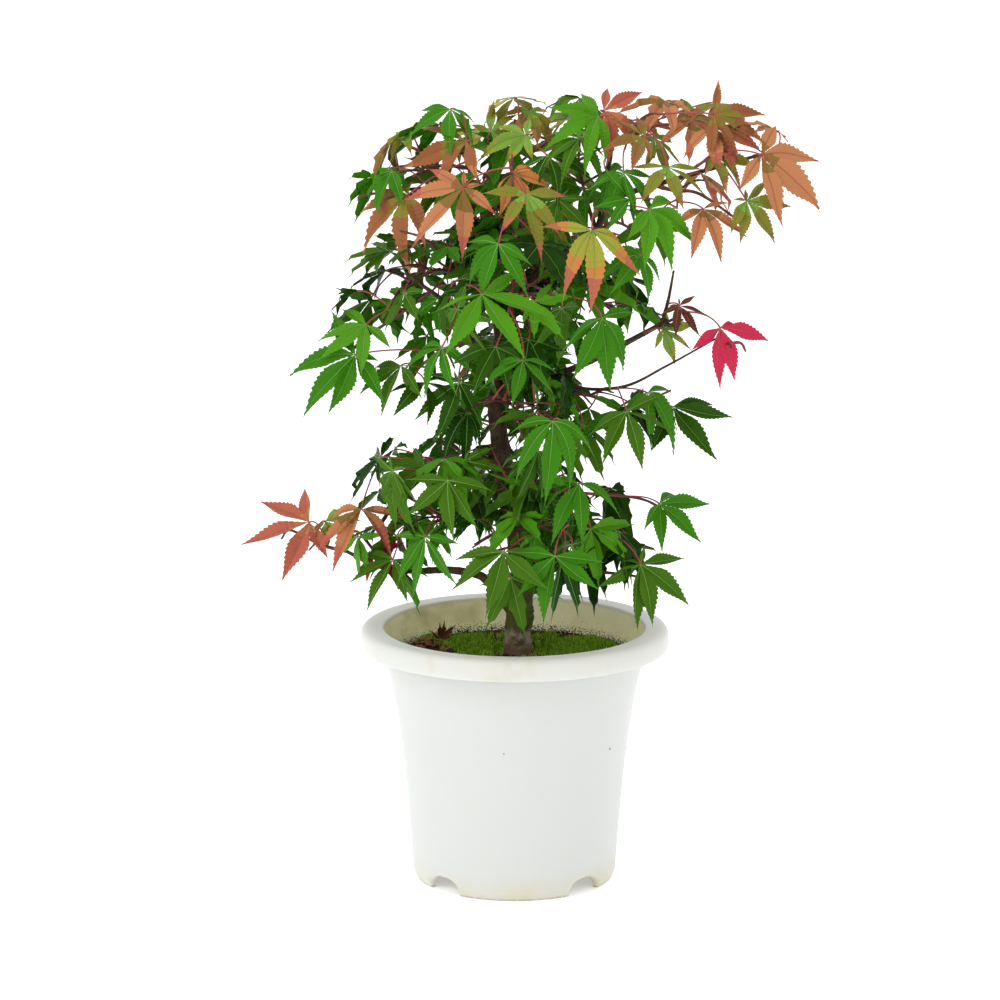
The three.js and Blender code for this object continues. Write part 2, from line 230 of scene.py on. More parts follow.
# A column of points stands every two degrees, and closer at the notches' steep ends.
notch_centres = np.array([45.0, 135.0, 225.0, 315.0])
steep_from, steep_to = 9.5, 12.6
steep = np.linspace(steep_from, steep_to, 8)
to_notch_edge = np.concatenate([-steep[::-1], steep])
pot_angles = np.union1d(np.arange(0, 360, 2.0), (notch_centres[:, None] + to_notch_edge).round(3))
from_notch = np.abs((pot_angles[:, None] - notch_centres + 180) % 360 - 180).min(1)
across_notch = np.clip(np.radians(from_notch) * FOOT_RADIUS / NOTCH_HALF, 0, 1)
notch_rise = NOTCH_HEIGHT * (1 - across_notch**2.5) ** 0.5

# Over each notch the foot ring's lower edge is raised by the arch, and what is above it is
# squeezed evenly: inside the ring up to the floor, and outside up to twice the notch's height.
pot_r, pot_z = pot_profile[:, :1], pot_profile[:, 1:]
inside_ring = (pot_r < FLOOR_EDGE) & (pot_z <= FLOOR_UNDERSIDE)
outside_ring = (pot_r > body_radius(pot_z) - 1.5) & (pot_z < 2 * NOTCH_HEIGHT)
squeeze_top = np.where(inside_ring, FLOOR_UNDERSIDE, 2 * NOTCH_HEIGHT)
raised_edge = pot_z + notch_rise * (1 - pot_z / squeeze_top)
pot_height = np.where(inside_ring | outside_ring, raised_edge, pot_z)
angle = np.radians(pot_angles)[None, :]
pot_points = np.stack([pot_r * np.cos(angle), pot_r * np.sin(angle), pot_height], -1)

# White polypropylene, satin from the mould, and thin enough to let light in some 4 mm, which
# softens its shading. Two seasons of watering have left lime and a film of algae on the inner wall
# above the soil, a cream film on the rim and foot, and soil where the foot meets the ground.
# The film lies in clouds some 22 mm across, and the mould's grain is drawn at 2.4 mm to show.
# The algae film is painted a pale cream that is lighter than the plastic. It is partly the film's real
# tint and partly painted light, standing in for the light that the crown keeps off the inner wall.
# The inner wall is also painted a darker olive towards its left.
milky = dict(Subsurface_Weight=0.4, Subsurface_Radius=(0.004, 0.004, 0.0035), Subsurface_Scale=1.0)
pot_plastic, tree, shader = surface("white_polypropylene_satin_weathered", "#CFD1CE", 0.36, **milky)
place = add(tree, "ShaderNodeTexCoord").outputs["Object"]
axes = add(tree, "ShaderNodeSeparateXYZ", {"Vector": place})
height = axes.outputs["Z"]
level = add(tree, "ShaderNodeCombineXYZ", {"X": axes.outputs["X"], "Y": axes.outputs["Y"]})
radius = add(tree, "ShaderNodeVectorMath", {0: level.outputs[0]}, operation="LENGTH").outputs["Value"]
cloudy = add(
    tree, "ShaderNodeTexNoise", {"Vector": place, "Scale": 45.0, "Detail": 4.0, "Roughness": 0.6}
).outputs["Fac"]
fine = add(
    tree, "ShaderNodeTexNoise", {"Vector": place, "Scale": 420.0, "Detail": 3.0, "Roughness": 0.65}
).outputs["Fac"]


def stained(tree, colour, stains):
    """A colour with stains laid over it in turn. A stain is its hex colour, its strength and the
    bands whose product says where it is. A band is a value, where the stain starts and where it
    is full, and the amounts there when they aren't 0 and 1."""
    for stain, strength, bands in stains:
        amount = strength
        for value, start, full, *ends in bands:
            low, high = ends or (0.0, 1.0)
            span = {"Value": value, "From Min": start, "From Max": full, "To Min": low, "To Max": high}
            band = add(tree, "ShaderNodeMapRange", span).outputs["Result"]
            amount = add(tree, "ShaderNodeMath", {0: amount, 1: band}, operation="MULTIPLY").outputs["Value"]
        mixed = add(tree, "ShaderNodeMix", {0: amount, 6: colour, 7: linear(stain)}, data_type="RGBA")
        colour = mixed.outputs[2]
    return colour


# The inner wall's radius is 0.19 of the height and 32.9 mm, and what is nearer the axis than
# that is on it. Dark specks of splashed soil, 0.6 mm across, lie thicker on it towards the soil.
inner_edge = add(tree, "ShaderNodeMath", {0: height, 1: 0.19, 2: 0.0329}, operation="MULTIPLY_ADD").outputs[0]
inward = add(tree, "ShaderNodeMath", {0: inner_edge, 1: radius}, operation="SUBTRACT").outputs[0]
inner_wall = [(inward, 0.0, 0.0003), (height, 0.0993, 0.0975)]
speck_size = {"Vector": place, "Scale": 1700.0, "Detail": 2.0, "Roughness": 0.6}
speckle = add(tree, "ShaderNodeTexNoise", speck_size).outputs["Fac"]
towards_soil = {"Value": height, "From Min": 0.0905, "From Max": 0.0868, "To Min": 0.0, "To Max": 0.2}
splashed = add(tree, "ShaderNodeMapRange", towards_soil).outputs["Result"]
speckled = add(tree, "ShaderNodeMath", {0: speckle, 1: splashed}, operation="ADD").outputs[0]
sideways = axes.outputs["X"]

cream, old_cream, drips, ground_dirt = "#D3CFC0", "#CBC4A6", "#B9A98B", "#9C8C66"
algae_film_and_painted_light, olive_towards_left, lime, splashed_soil = "#FAF2CC", "#B6B174", "#E4E6D2", "#4A4230"
stains = [
    (cream, 1.0, [(height, 0.088, 0.0975), (cloudy, 0.35, 0.7, 0.1, 0.6)]),
    (old_cream, 1.0, [(height, 0.011, 0.002), (cloudy, 0.3, 0.65, 0.15, 0.75)]),
    (drips, 0.22, [(height, 0.082, 0.092), (cloudy, 0.58, 0.7)]),
    (ground_dirt, 1.0, [(height, 0.0011, 0.0002), (fine, 0.35, 0.55, 0.2, 0.8)]),
    # Partly painted light: the film's pale cream is lighter than the plastic, to make up for the light the
    # crown keeps off the inner wall.
    (algae_film_and_painted_light, 1.0, [*inner_wall, (cloudy, 0.3, 0.5, 0.75, 1.0)]),
    # A darker olive, stronger towards the left of the inner wall.
    (olive_towards_left, 1.0, [*inner_wall, (sideways, 0.03, -0.045, 0.3, 1.0), (cloudy, 0.48, 0.66, 0.0, 0.7)]),
    (lime, 1.0, [*inner_wall, (height, 0.0895, 0.0885), (fine, 0.45, 0.6)]),
    (splashed_soil, 1.0, [*inner_wall, (height, 0.0925, 0.0915), (speckled, 0.67, 0.7)]),
]
scuffs = [((0.0365, -0.0251, 0.0567), 0.0006, "#3A3A38"), ((-0.004, -0.0446, 0.0600), 0.0005, "#9C9A90")]
for scuff, scuff_radius, scuff_colour in scuffs:
    gap = add(tree, "ShaderNodeVectorMath", {0: place, 1: scuff}, operation="DISTANCE").outputs["Value"]
    stains.append((scuff_colour, 1.0, [(gap, scuff_radius, scuff_radius * 0.6)]))
tree.links.new(stained(tree, linear("#CFD1CE"), stains), shader.inputs["Base Color"])
satin_to_dull = {"Value": cloudy, "From Min": 0.3, "From Max": 0.7, "To Min": 0.3, "To Max": 0.44}
dulling = add(tree, "ShaderNodeMapRange", satin_to_dull).outputs["Result"]
tree.links.new(dulling, shader.inputs["Roughness"])
moulding = add(tree, "ShaderNodeBump", {"Height": fine, "Strength": 0.08, "Distance": 0.0002})
tree.links.new(moulding.outputs["Normal"], shader.inputs["Normal"])

pot_faces = [grid(len(pot_profile), len(pot_angles), wrap_rows=True, wrap_columns=True)]
make_piece("pot", pot_points, pot_faces, [pot_plastic], ["pot"])


# ------------------------------------------------------------------ soil
# Dark potting soil fills the pot to a finger's width under the rim. Its top is uneven and
# strewn with crumbs, bark chips and a patch of pale sand behind the trunk, to the right.

SOIL_TOP = 87
SOIL_EDGE = 47.8
SOIL_UNDERSIDE = FLOOR_TOP + 0.2
SOIL_INSIDE_WALL = 2.15
CRUMB_REACH = 46.6


def waves(x, y, z=0.0, size=10.0, seed=1, octaves=4):
    """Smooth unevenness from about -1 to 1: a sum of sine waves in seeded directions, each
    octave half the size and six tenths the height of the one before."""
    rng = np.random.default_rng(seed)
    total, height, span = 0.0, 1.0, size
    for _ in range(octaves):
        direction = rng.normal(size=(3, 3))
        direction /= np.linalg.norm(direction, axis=1, keepdims=True)
        phase = rng.uniform(0, 2 * math.pi, 3)
        for (dx, dy, dz), p in zip(direction, phase):
            total = total + height * np.sin((x * dx + y * dy + z * dz) * 2 * math.pi / span + p) / 3
        height, span = height * 0.6, span * 0.5
    return total


def soil_height(x, y):
    """The soil's level: flat at its edge, with gentle waves, a mound to the left and a rise to the trunk."""
    from_middle = np.hypot(x, y)
    fade = np.clip((47.5 - from_middle) / 6, 0, 1)
    mound = 3.4 * np.exp(-(((x + 33) / 8) ** 2 + ((y - 8) / 12) ** 2))
    rise = 1.2 * np.exp(-((from_middle / 11) ** 2))
    return SOIL_TOP - 0.7 + fade * (0.5 + 0.55 * waves(x, y, size=17, seed=3, octaves=5) + mound + rise)


soil_turns = 180
soil_angle = np.linspace(0, 2 * math.pi, soil_turns, endpoint=False)[None, :]
top_r = np.linspace(SOIL_EDGE, 0.6, 74)[:, None]
side_z = np.linspace(SOIL_UNDERSIDE, SOIL_TOP - 1.0, 12)[:, None]
side_r = body_radius(side_z) - SOIL_INSIDE_WALL
bottom_r = np.array([[DRAIN_RADIUS * 0.2], [DRAIN_RADIUS], [30.0]])
bottom_z = np.full_like(bottom_r, SOIL_UNDERSIDE)
soil_r = np.vstack([bottom_r, side_r, top_r])
soil_x, soil_y = soil_r * np.cos(soil_angle), soil_r * np.sin(soil_angle)
top_z = soil_height(top_r * np.cos(soil_angle), top_r * np.sin(soil_angle))
soil_z = np.vstack([np.vstack([bottom_z, side_z]) + 0 * soil_angle, top_z])
soil_grid = np.stack([soil_x, soil_y, soil_z], -1).reshape(-1, 3)
soil_rows = len(soil_x)
poles = np.array([[0, 0, SOIL_UNDERSIDE], [0, 0, soil_height(np.array(0.0), np.array(0.0))]])
ring = np.arange(soil_turns)
next_on_ring = np.roll(ring, -1)
last_ring = (soil_rows - 1) * soil_turns
bottom_fan = np.stack([np.full(soil_turns, len(soil_grid)), next_on_ring, ring], -1)
top_fan = np.stack([np.full(soil_turns, len(soil_grid) + 1), last_ring + ring, last_ring + next_on_ring], -1)

# Peat-based potting soil, moist: nearly black-brown and matt, in clods of 4 mm with paler
# fibres, and grains of 1 mm. The sand lies within 17 mm of its middle.
wet_soil, tree, shader = surface("potting_soil_moist", "#3A2A1C", 0.95, Specular_IOR_Level=0.15)
place = add(tree, "ShaderNodeTexCoord").outputs["Object"]
clods = add(
    tree, "ShaderNodeTexNoise", {"Vector": place, "Scale": 260.0, "Detail": 6.0, "Roughness": 0.7}
).outputs["Fac"]
grains = add(tree, "ShaderNodeTexVoronoi", {"Vector": place, "Scale": 900.0}).outputs["Distance"]
sand_gap = add(
    tree, "ShaderNodeVectorMath", {0: place, 1: (0.027, 0.008, 0.087)}, operation="DISTANCE"
).outputs["Value"]
stains = [
    ("#5A4430", 1.0, [(clods, 0.4, 0.65)]),
    ("#7C664A", 0.6, [(grains, 0.25, 0.1)]),
    ("#B49C78", 1.0, [(sand_gap, 0.017, 0.009), (clods, 0.4, 0.55)]),
]
tree.links.new(stained(tree, linear("#241A12"), stains), shader.inputs["Base Color"])
rough = add(tree, "ShaderNodeBump", {"Height": clods, "Strength": 0.9, "Distance": 0.0012})
tree.links.new(rough.outputs["Normal"], shader.inputs["Normal"])

soil_faces = [grid(soil_rows, soil_turns, wrap_columns=True), np.vstack([bottom_fan, top_fan])]
make_piece("soil", np.vstack([soil_grid, poles]), soil_faces, [wet_soil], ["soil"])


def unit(v):
    """Vectors scaled to length one along the last axis."""
    return v / np.maximum(np.linalg.norm(v, axis=-1, keepdims=True), 1e-9)


def lumps(rng, places, sizes, flatness=1.0):
    """A rough grain at each place: an icosahedron whose corners are pushed in and out by up to a
    third, squeezed by flatness and turned at random. Returns the points and the triangles."""
    g = (1 + 5**0.5) / 2
    corners = unit(np.array([
        [-1, g, 0], [1, g, 0], [-1, -g, 0], [1, -g, 0], [0, -1, g], [0, 1, g],
        [0, -1, -g], [0, 1, -g], [g, 0, -1], [g, 0, 1], [-g, 0, -1], [-g, 0, 1],
    ]))
    sides = np.array([
        [0, 11, 5], [0, 5, 1], [0, 1, 7], [0, 7, 10], [0, 10, 11],
        [1, 5, 9], [5, 11, 4], [11, 10, 2], [10, 7, 6], [7, 1, 8],
        [3, 9, 4], [3, 4, 2], [3, 2, 6], [3, 6, 8], [3, 8, 9],
        [4, 9, 5], [2, 4, 11], [6, 2, 10], [8, 6, 7], [9, 8, 1],
    ])
    count = len(places)
    shape = corners[None] * rng.uniform(0.67, 1.2, (count, 12, 1))
    shape = shape * np.array([1, rng.uniform(0.7, 1), flatness])
    turn = rng.uniform(0, 2 * math.pi, count)
    tip = rng.normal(0, 0.35, count)
    cos, sin = np.cos(turn)[:, None], np.sin(turn)[:, None]
    x, y, z = shape[..., 0], shape[..., 1], shape[..., 2] + shape[..., 0] * tip[:, None]
    shape = np.stack([x * cos - y * sin, x * sin + y * cos, z], -1) * np.asarray(sizes)[:, None, None]
    triangles = sides[None] + 12 * np.arange(count)[:, None, None]
    return (np.asarray(places)[:, None] + shape).reshape(-1, 3), triangles.reshape(-1, 3)


def strewn(rng, count, reach, middle=(0, 0), lift=0.0):
    """Random places on the soil's top within reach of a middle point, held clear of the pot's wall."""
    r, a = reach * np.sqrt(rng.uniform(0, 1, count)), rng.uniform(0, 2 * math.pi, count)
    x, y = middle[0] + r * np.cos(a), middle[1] + r * np.sin(a)
    from_middle = np.hypot(x, y)
    inside_wall = np.minimum(1, CRUMB_REACH / np.maximum(from_middle, 1e-6))
    x, y = x * inside_wall, y * inside_wall
    return np.stack([x, y, soil_height(x, y) + lift], -1)


# Loose matter on the soil: more of it lies on the mound, (-34, 8), and round the trunk's foot,
# and the pale sand lies behind the trunk to the right, round (27, 6).
rng = np.random.default_rng(11)
crumb_places = np.vstack([
    strewn(rng, 1100, 46), strewn(rng, 420, 12, (-34, 8), 0.4), strewn(rng, 160, 9, (3, -6), 0.2)
])
crumb_points, crumb_faces = lumps(rng, crumb_places, rng.lognormal(-0.55, 0.42, len(crumb_places)), 0.8)
crumb_soil, _, _ = surface("soil_crumbs_dark", "#38281B", 0.95, Specular_IOR_Level=0.15)
make_piece("soil_crumbs", crumb_points, [crumb_faces], [crumb_soil], smooth=False)

chip_places = np.vstack([
    strewn(rng, 150, 46, lift=0.2), strewn(rng, 60, 8, (2, -8), 0.5), strewn(rng, 70, 12, (-34, 7), 0.9)
])
chip_points, chip_faces = lumps(rng, chip_places, rng.uniform(0.7, 1.9, len(chip_places)), 0.3)
bark_chip, _, _ = surface("bark_chips_dry", "#6E4B33", 0.9, Specular_IOR_Level=0.2)
make_piece("bark_chips", chip_points, [chip_faces], [bark_chip], smooth=False)

grain_places = np.vstack([strewn(rng, 420, 11, (27, 6), 0.25), strewn(rng, 160, 46, lift=0.2)])
grain_points, grain_faces = lumps(rng, grain_places, rng.uniform(0.25, 0.6, len(grain_places)), 0.8)
sand_grain, _, _ = surface("sand_and_grit", "#BCA683", 0.85, Specular_IOR_Level=0.3)
make_piece("sand_grains", grain_points, [grain_faces], [sand_grain], smooth=False)


# ------------------------------------------------------------------ moss
# Two cushions of carpet moss have grown on the soil either side of the trunk. Each is a low
# dome packed with upright leafy shoots.

MOSS_HEIGHT = 2.6
cushions = {
    "moss_left": dict(middle=(-22, 17), half=(17, 12), turn=-28, seed=5),
    "moss_right": dict(middle=(24, 15), half=(16, 12), turn=24, seed=6),
}


def cushion_height(u, v, seed):
    """The dome's height over its own unit disc: a flattened half ball with small knolls."""
    rest = np.clip(1 - u**2 - v**2, 0, 1)
    return MOSS_HEIGHT * rest**0.4 * (0.86 + 0.2 * waves(u, v, size=0.5, seed=seed))


def on_cushion(u, v, middle, half, turn):
    """Places over the ground of points in the unit disc, stretched to the cushion's size and turned."""
    a = math.radians(turn)
    x, y = u * half[0], v * half[1]
    return middle[0] + x * math.cos(a) - y * math.sin(a), middle[1] + x * math.sin(a) + y * math.cos(a)


def shoots(rng, places, lean, length, width):
    """Moss shoots: at each place two crossed slips, each a blade of two quads that narrows upwards
    and bends out by lean."""
    count = len(places)
    a = rng.uniform(0, 2 * math.pi, (count, 1, 1)) + np.array([0, math.pi / 2])[None, :, None]
    t = np.array([0, 0.5, 1.0])[None, None, :]
    half = width * np.array([0.8, 1.0, 0.15])[None, None, :]
    bend = lean[:, None, None] * t[..., None] ** 1.5
    rise = np.array([0, 0, 1.0]) * (t[..., None] * length[:, None, None, None])
    spine = places[:, None, None] + bend + rise
    side = np.stack([np.cos(a), np.sin(a), 0 * a], -1) * half[..., None]
    points = np.stack([spine - side, spine + side], -2)
    faces = grid(3, 2)[None] + 6 * np.arange(2 * count)[:, None, None]
    return points.reshape(-1, 3), faces.reshape(-1, 4)


# Living moss: soft and matt, yellow-green where fresh, darker beneath and paler at its tips.
moss_green = [
    surface("carpet_moss_fresh", "#88B422", 0.85)[0],
    surface("carpet_moss_deep", "#5A8614", 0.9)[0],
    surface("carpet_moss_tips", "#B4CE4A", 0.85)[0],
]
for name, cushion in cushions.items():
    seed = cushion["seed"]
    ground = dict(middle=cushion["middle"], half=cushion["half"], turn=cushion["turn"])
    rng = np.random.default_rng(seed)
    rows, turns, sunk = 16, 64, 1.5
    r = np.linspace(1, 0.02, rows)[:, None]
    a = np.linspace(0, 2 * math.pi, turns, endpoint=False)[None, :]
    edge = 1 + 0.1 * waves(np.cos(a), np.sin(a), size=1.2, seed=seed)
    x, y = on_cushion(r * np.cos(a) * edge, r * np.sin(a) * edge, **ground)
    z = soil_height(x, y) + cushion_height(r * np.cos(a), r * np.sin(a), seed) - 0.3
    dome = np.stack([x, y, z], -1).reshape(-1, 3)
    foot = dome[:turns] - [0, 0, sunk]
    points = np.vstack([foot, dome, dome[-turns:].mean(0)[None], foot.mean(0)[None]])
    last = rows * turns + np.arange(turns)
    first = np.arange(turns)
    fans = np.vstack([
        np.stack([np.full(turns, (rows + 1) * turns), last, np.roll(last, -1)], -1),
        np.stack([np.full(turns, (rows + 1) * turns + 1), np.roll(first, -1), first], -1),
    ])
    dome_faces = [grid(rows + 1, turns, wrap_columns=True), fans]
    make_piece(name, points, dome_faces, [moss_green[1]], [name])

    count = 5200
    r, a = np.sqrt(rng.uniform(0, 1, count)) * 1.02, rng.uniform(0, 2 * math.pi, count)
    u, v = r * np.cos(a), r * np.sin(a)
    x, y = on_cushion(u, v, **ground)
    z = soil_height(x, y) + cushion_height(u, v, seed) - 0.5
    outwards = np.stack([x - cushion["middle"][0], y - cushion["middle"][1], 0 * x], -1)
    lean = outwards * 0.02 + rng.normal(0, 0.28, (count, 3))
    shoot_points, shoot_faces = shoots(rng, np.stack([x, y, z], -1), lean, rng.uniform(0.9, 1.7, count), 0.22)
    tint = np.repeat(rng.choice(3, count, p=[0.5, 0.28, 0.22]), 4)
    shoots_name = name + "_shoots"
    make_piece(
        shoots_name, shoot_points, [shoot_faces], moss_green, face_materials=tint, smooth=False
    )

# Loose tufts have spread from the cushions over the soil round the trunk's foot and behind it.
# Each tuft is its middle's x and y, and its reach.
rng = np.random.default_rng(9)
tuft_places = [
    (-9, 4, 6), (10, 5, 6), (1, 13, 7), (-14, 1, 6), (16, 1, 6), (27, 1, 7), (-24, 3, 5), (36, 10, 6),
    (6, -8, 4), (-12, -12, 7), (18, -16, 9), (1, 22, 8), (9, 29, 7), (-7, 29, 7), (0, 35, 7),
    (13, 35, 6), (-14, 34, 6),
]
tufts = np.vstack([strewn(rng, 26 * reach, reach, (x, y), -0.3) for x, y, reach in tuft_places])
trunk_x, clear_of_trunk = 1.5, 5.6
tufts = tufts[np.hypot(tufts[:, 0] - trunk_x, tufts[:, 1]) > clear_of_trunk]
lean = rng.normal(0, 0.3, tufts.shape)
shoot_points, shoot_faces = shoots(rng, tufts, lean, rng.uniform(1.0, 2.3, len(tufts)), 0.24)
tint = np.repeat(rng.choice(3, len(tufts), p=[0.5, 0.25, 0.25]), 4)
make_piece("moss_tufts", shoot_points, [shoot_faces], moss_green, face_materials=tint, smooth=False)


# ------------------------------------------------------------------ trunk and boughs
# The trunk rises from a slight root flare, leans left above its kink and forks into two
# leaders. Thin boughs leave it low on the left and midway on the right. The wood is solid
# maple under thin bark, grown in one with its boughs.


def smooth_path(points, count):
    """A curve through the points, at even steps of length: between two points it is the cubic
    whose slope at each end is half the step from the point before to the point after."""
    p = np.array(points, float)
    p = np.vstack([2 * p[0] - p[1], p, 2 * p[-1] - p[-2]])
    u = np.linspace(0, len(p) - 3, 40 * (len(p) - 3) + 1)
    i = np.minimum(u.astype(int), len(p) - 4)
    t = (u - i)[:, None]
    a, b, c, d = p[i], p[i + 1], p[i + 2], p[i + 3]
    curve = 0.5 * (2 * b + (c - a) * t + (2 * a - 5 * b + 4 * c - d) * t**2 + (3 * b - a - 3 * c + d) * t**3)
    length = np.concatenate([[0], np.cumsum(np.linalg.norm(np.diff(curve, axis=0), axis=1))])
    return np.stack([np.interp(np.linspace(0, length[-1], count), length, curve[:, k]) for k in range(3)], -1)


def tubes(paths, radii, sides):
    """A closed round bar along each path: a ring of sides points at right angles to the path at
    every step, at the radius given there, with a fan over each end. radii may differ round the
    ring. Returns the points, the quads and the triangles."""
    paths = np.asarray(paths, float)
    count, steps = paths.shape[:2]
    along = unit(np.gradient(paths, axis=1))
    overall = unit(paths[:, -1] - paths[:, 0])
    guide = np.where(np.abs(overall[:, 1:2]) > 0.75, [[1.0, 0, 0]], [[0, 1.0, 0]])[:, None, :]
    across = unit(np.cross(along, guide))
    over = np.cross(along, across)
    a = np.linspace(0, 2 * math.pi, sides, endpoint=False)
    radii = np.asarray(radii, float).reshape(count if np.ndim(radii) > 1 else 1, steps, -1)
    radii = np.broadcast_to(radii, (count, steps, sides))
    turned = np.cos(a)[:, None] * across[:, :, None] + np.sin(a)[:, None] * over[:, :, None]
    rings = paths[:, :, None] + radii[..., None] * turned
    points = np.concatenate([rings.reshape(count, -1, 3), paths[:, :1], paths[:, -1:]], 1)
    size = steps * sides + 2
    start = size * np.arange(count)[:, None, None]
    quads = grid(steps, sides, wrap_columns=True)[None] + start
    c, d = np.arange(sides), np.roll(np.arange(sides), -1)
    low = np.stack([np.full(sides, size - 2), d, c], -1)
    high = np.stack([np.full(sides, size - 1), (steps - 1) * sides + c, (steps - 1) * sides + d], -1)
    fans = np.vstack([low, high])[None] + start
    return points.reshape(-1, 3), quads.reshape(-1, 4), fans.reshape(-1, 3)


FORK = (-4.5, 3, 214)
trunk_points = [
    (1.5, 0, 85.5), (1.3, 0, 96), (1.6, 0, 106), (3, 0.5, 117), (2, 1, 130), (-1.6, 2, 145), (-5, 3, 166),
    (-7.4, 3, 191), FORK,
]

# Each bough is its first and last radius and the places it passes through from its parent outwards.
boughs = {
    "leader_right": (2.4, 0.9, [
        (-6.6, 3, 206), FORK, (6.5, 3, 234), (18, 3, 243), (31, 4, 252.5), (34, 4, 268), (37, 4, 287),
    ]),
    "leader_left": (2.0, 0.7, [(-6.4, 3, 204), (-6.5, 3, 216), (-13, 4, 238), (-16, 4, 262), (-18, 3, 295)]),
    "low_left_bough": (2.1, 0.7, [
        (1.8, 0, 100), (-5.5, 1, 111), (-10.5, 2, 116.5), (-15, 3, 119), (-26, 6, 120), (-40, 11, 118.5),
        (-54, 16, 119.5), (-66, 22, 124),
    ]),
    "right_bough": (1.6, 0.95, [(-7, 3, 191), (-1, 0, 194), (20, -5, 200), (38, -8, 209), (56, -10, 219)]),
    "right_bough_twig": (0.8, 0.4, [(55.5, -10, 218.6), (58, -10, 228), (60, -9, 239)]),
    "right_bough_fork": (0.7, 0.45, [(55.5, -10, 218.6), (60, -12, 221), (63, -13, 224)]),
    "crimson_leaf_twig": (0.75, 0.3, [
        (12, -3, 197.5), (26, -10, 194), (42, -16, 196), (57, -19, 204), (79, -22, 217),
    ]),
    "top_right_bough": (1.3, 0.6, [(33.6, 4, 264), (52, -8, 271), (80, -24, 281), (88, -30, 284)]),
    "left_limb": (1.2, 0.7, [
        (-7.2, 3, 196), (-14, -6, 208), (-20, -15, 220), (-26, -18, 228), (-35, -20, 235), (-41, -20, 239.5),
    ]),
    "front_limb": (1.3, 0.7, [(-3.2, 2, 152), (-2, -14, 158), (2, -30, 166)]),
    "back_limb": (1.4, 0.7, [(-5, 3, 166), (-6, 18, 178), (-6, 34, 186)]),
    "upper_back_limb": (1.4, 0.7, [(-5.5, 3, 207), (-2, 16, 226), (3, 34, 238)]),
    "upper_front_limb": (1.3, 0.7, [(-5, 3, 212), (-1, -12, 226), (-3, -32, 232)]),
    "low_back_limb": (1.2, 0.6, [(0.2, 1, 138), (2, 16, 142), (2, 34, 140)]),
}
single_node_boughs = (
    "leader_right", "leader_left", "right_bough", "right_bough_twig", "crimson_leaf_twig", "top_right_bough",
)
bough_nodes = {name: [name] for name in single_node_boughs}
bough_nodes["low_left_bough"] = ["low_left_bough_rise", "low_left_bough_run"]


def bark_relief(path, radius, sides, seed):
    """The bark's height in millimetres over a limb's grid: shallow fissures that wander along it,
    ring scars where buds once stood, and fine grit."""
    rng = np.random.default_rng(seed)
    length = np.concatenate([[0], np.cumsum(np.linalg.norm(np.diff(path, axis=0), axis=1))])[:, None]
    a = np.linspace(0, 2 * math.pi, sides, endpoint=False)[None, :]
    sway = 0.6 * np.sin(length / 9 + seed)
    wide_fissures = -0.05 * np.abs(np.sin(3 * a + sway + 0.8 * np.sin(length / 4))) ** 3
    fissures = wide_fissures - 0.035 * np.abs(np.sin(5 * a - sway)) ** 4
    scars = np.zeros_like(length)
    for place in np.arange(rng.uniform(6, 12), length[-1, 0], rng.uniform(11, 17)):
        past = length - place
        scars = scars + 0.09 * np.exp(-((past / 0.5) ** 2)) + 0.05 * np.exp(-(((past - 1.3) / 0.4) ** 2))
    grit = 0.03 * waves(np.cos(a) * radius, np.sin(a) * radius, length, size=2.2, seed=seed, octaves=3)
    return radius * (fissures + scars + grit)


trunk_path = smooth_path(trunk_points, 240)
trunk_sides = 40
foot_radius, fork_radius = 5.2, 2.7
trunk_radius = np.linspace(foot_radius, fork_radius, len(trunk_path))[:, None]
a = np.linspace(0, 2 * math.pi, trunk_sides, endpoint=False)[None, :]
above_soil = np.clip(trunk_path[:, 2:] - SOIL_TOP, 0, None)
flare = 0.15 * np.exp(-above_soil / 4.5) * (1 + 0.5 * np.cos(4 * a + 0.6))
trunk_ring = trunk_radius * (1 + flare) + bark_relief(trunk_path, trunk_radius, trunk_sides, 2)


def knob(height, spread, facing, width, size):
    """A healed pruning wound: a smooth bump on the trunk at a height and a facing angle."""
    turn = (a - math.radians(facing) + math.pi) % (2 * math.pi) - math.pi
    return size * np.exp(-(((trunk_path[:, 2:] - height) / spread) ** 2) - (turn / width) ** 2)


# The lowest wound has a hollow at its middle; two smaller ones are higher up.
trunk_ring += (
    knob(104, 4.5, 180, 0.7, 1.7) - knob(105, 1.6, 185, 0.25, 0.7)
    + knob(127, 3, 20, 0.8, 0.7) + knob(160, 3, 190, 0.7, 0.8)
)

# Smooth young maple bark, dull: dark brown with a maroon cast, grey-brown at the foot with a
# band of powdery green algae, in patches of 5 mm. Its streaks run up the wood, 1 mm by 3, and
# small pale breathing pores stand some 2 mm apart.
bark, tree, shader = surface("young_maple_bark_dull", "#4A3128", 0.72, Specular_IOR_Level=0.2)
place = add(tree, "ShaderNodeTexCoord").outputs["Object"]
height = add(tree, "ShaderNodeSeparateXYZ", {"Vector": place}).outputs["Z"]
patches = add(
    tree, "ShaderNodeTexNoise", {"Vector": place, "Scale": 190.0, "Detail": 5.0, "Roughness": 0.65}
).outputs["Fac"]
stretched = add(tree, "ShaderNodeMapping", {"Vector": place, "Scale": (1.0, 1.0, 0.25)}).outputs["Vector"]
streaks = add(
    tree, "ShaderNodeTexNoise", {"Vector": stretched, "Scale": 1300.0, "Detail": 4.0, "Roughness": 0.6}
).outputs["Fac"]
pores = add(
    tree, "ShaderNodeTexVoronoi", {"Vector": place, "Scale": 480.0, "Randomness": 1.0}
).outputs["Distance"]
brown, grey_patch, green_algae = "#4E3628", "#655442", "#4A561A"
grey_foot, pale_lime, pore = "#66523E", "#9A8E7C", "#8A745C"
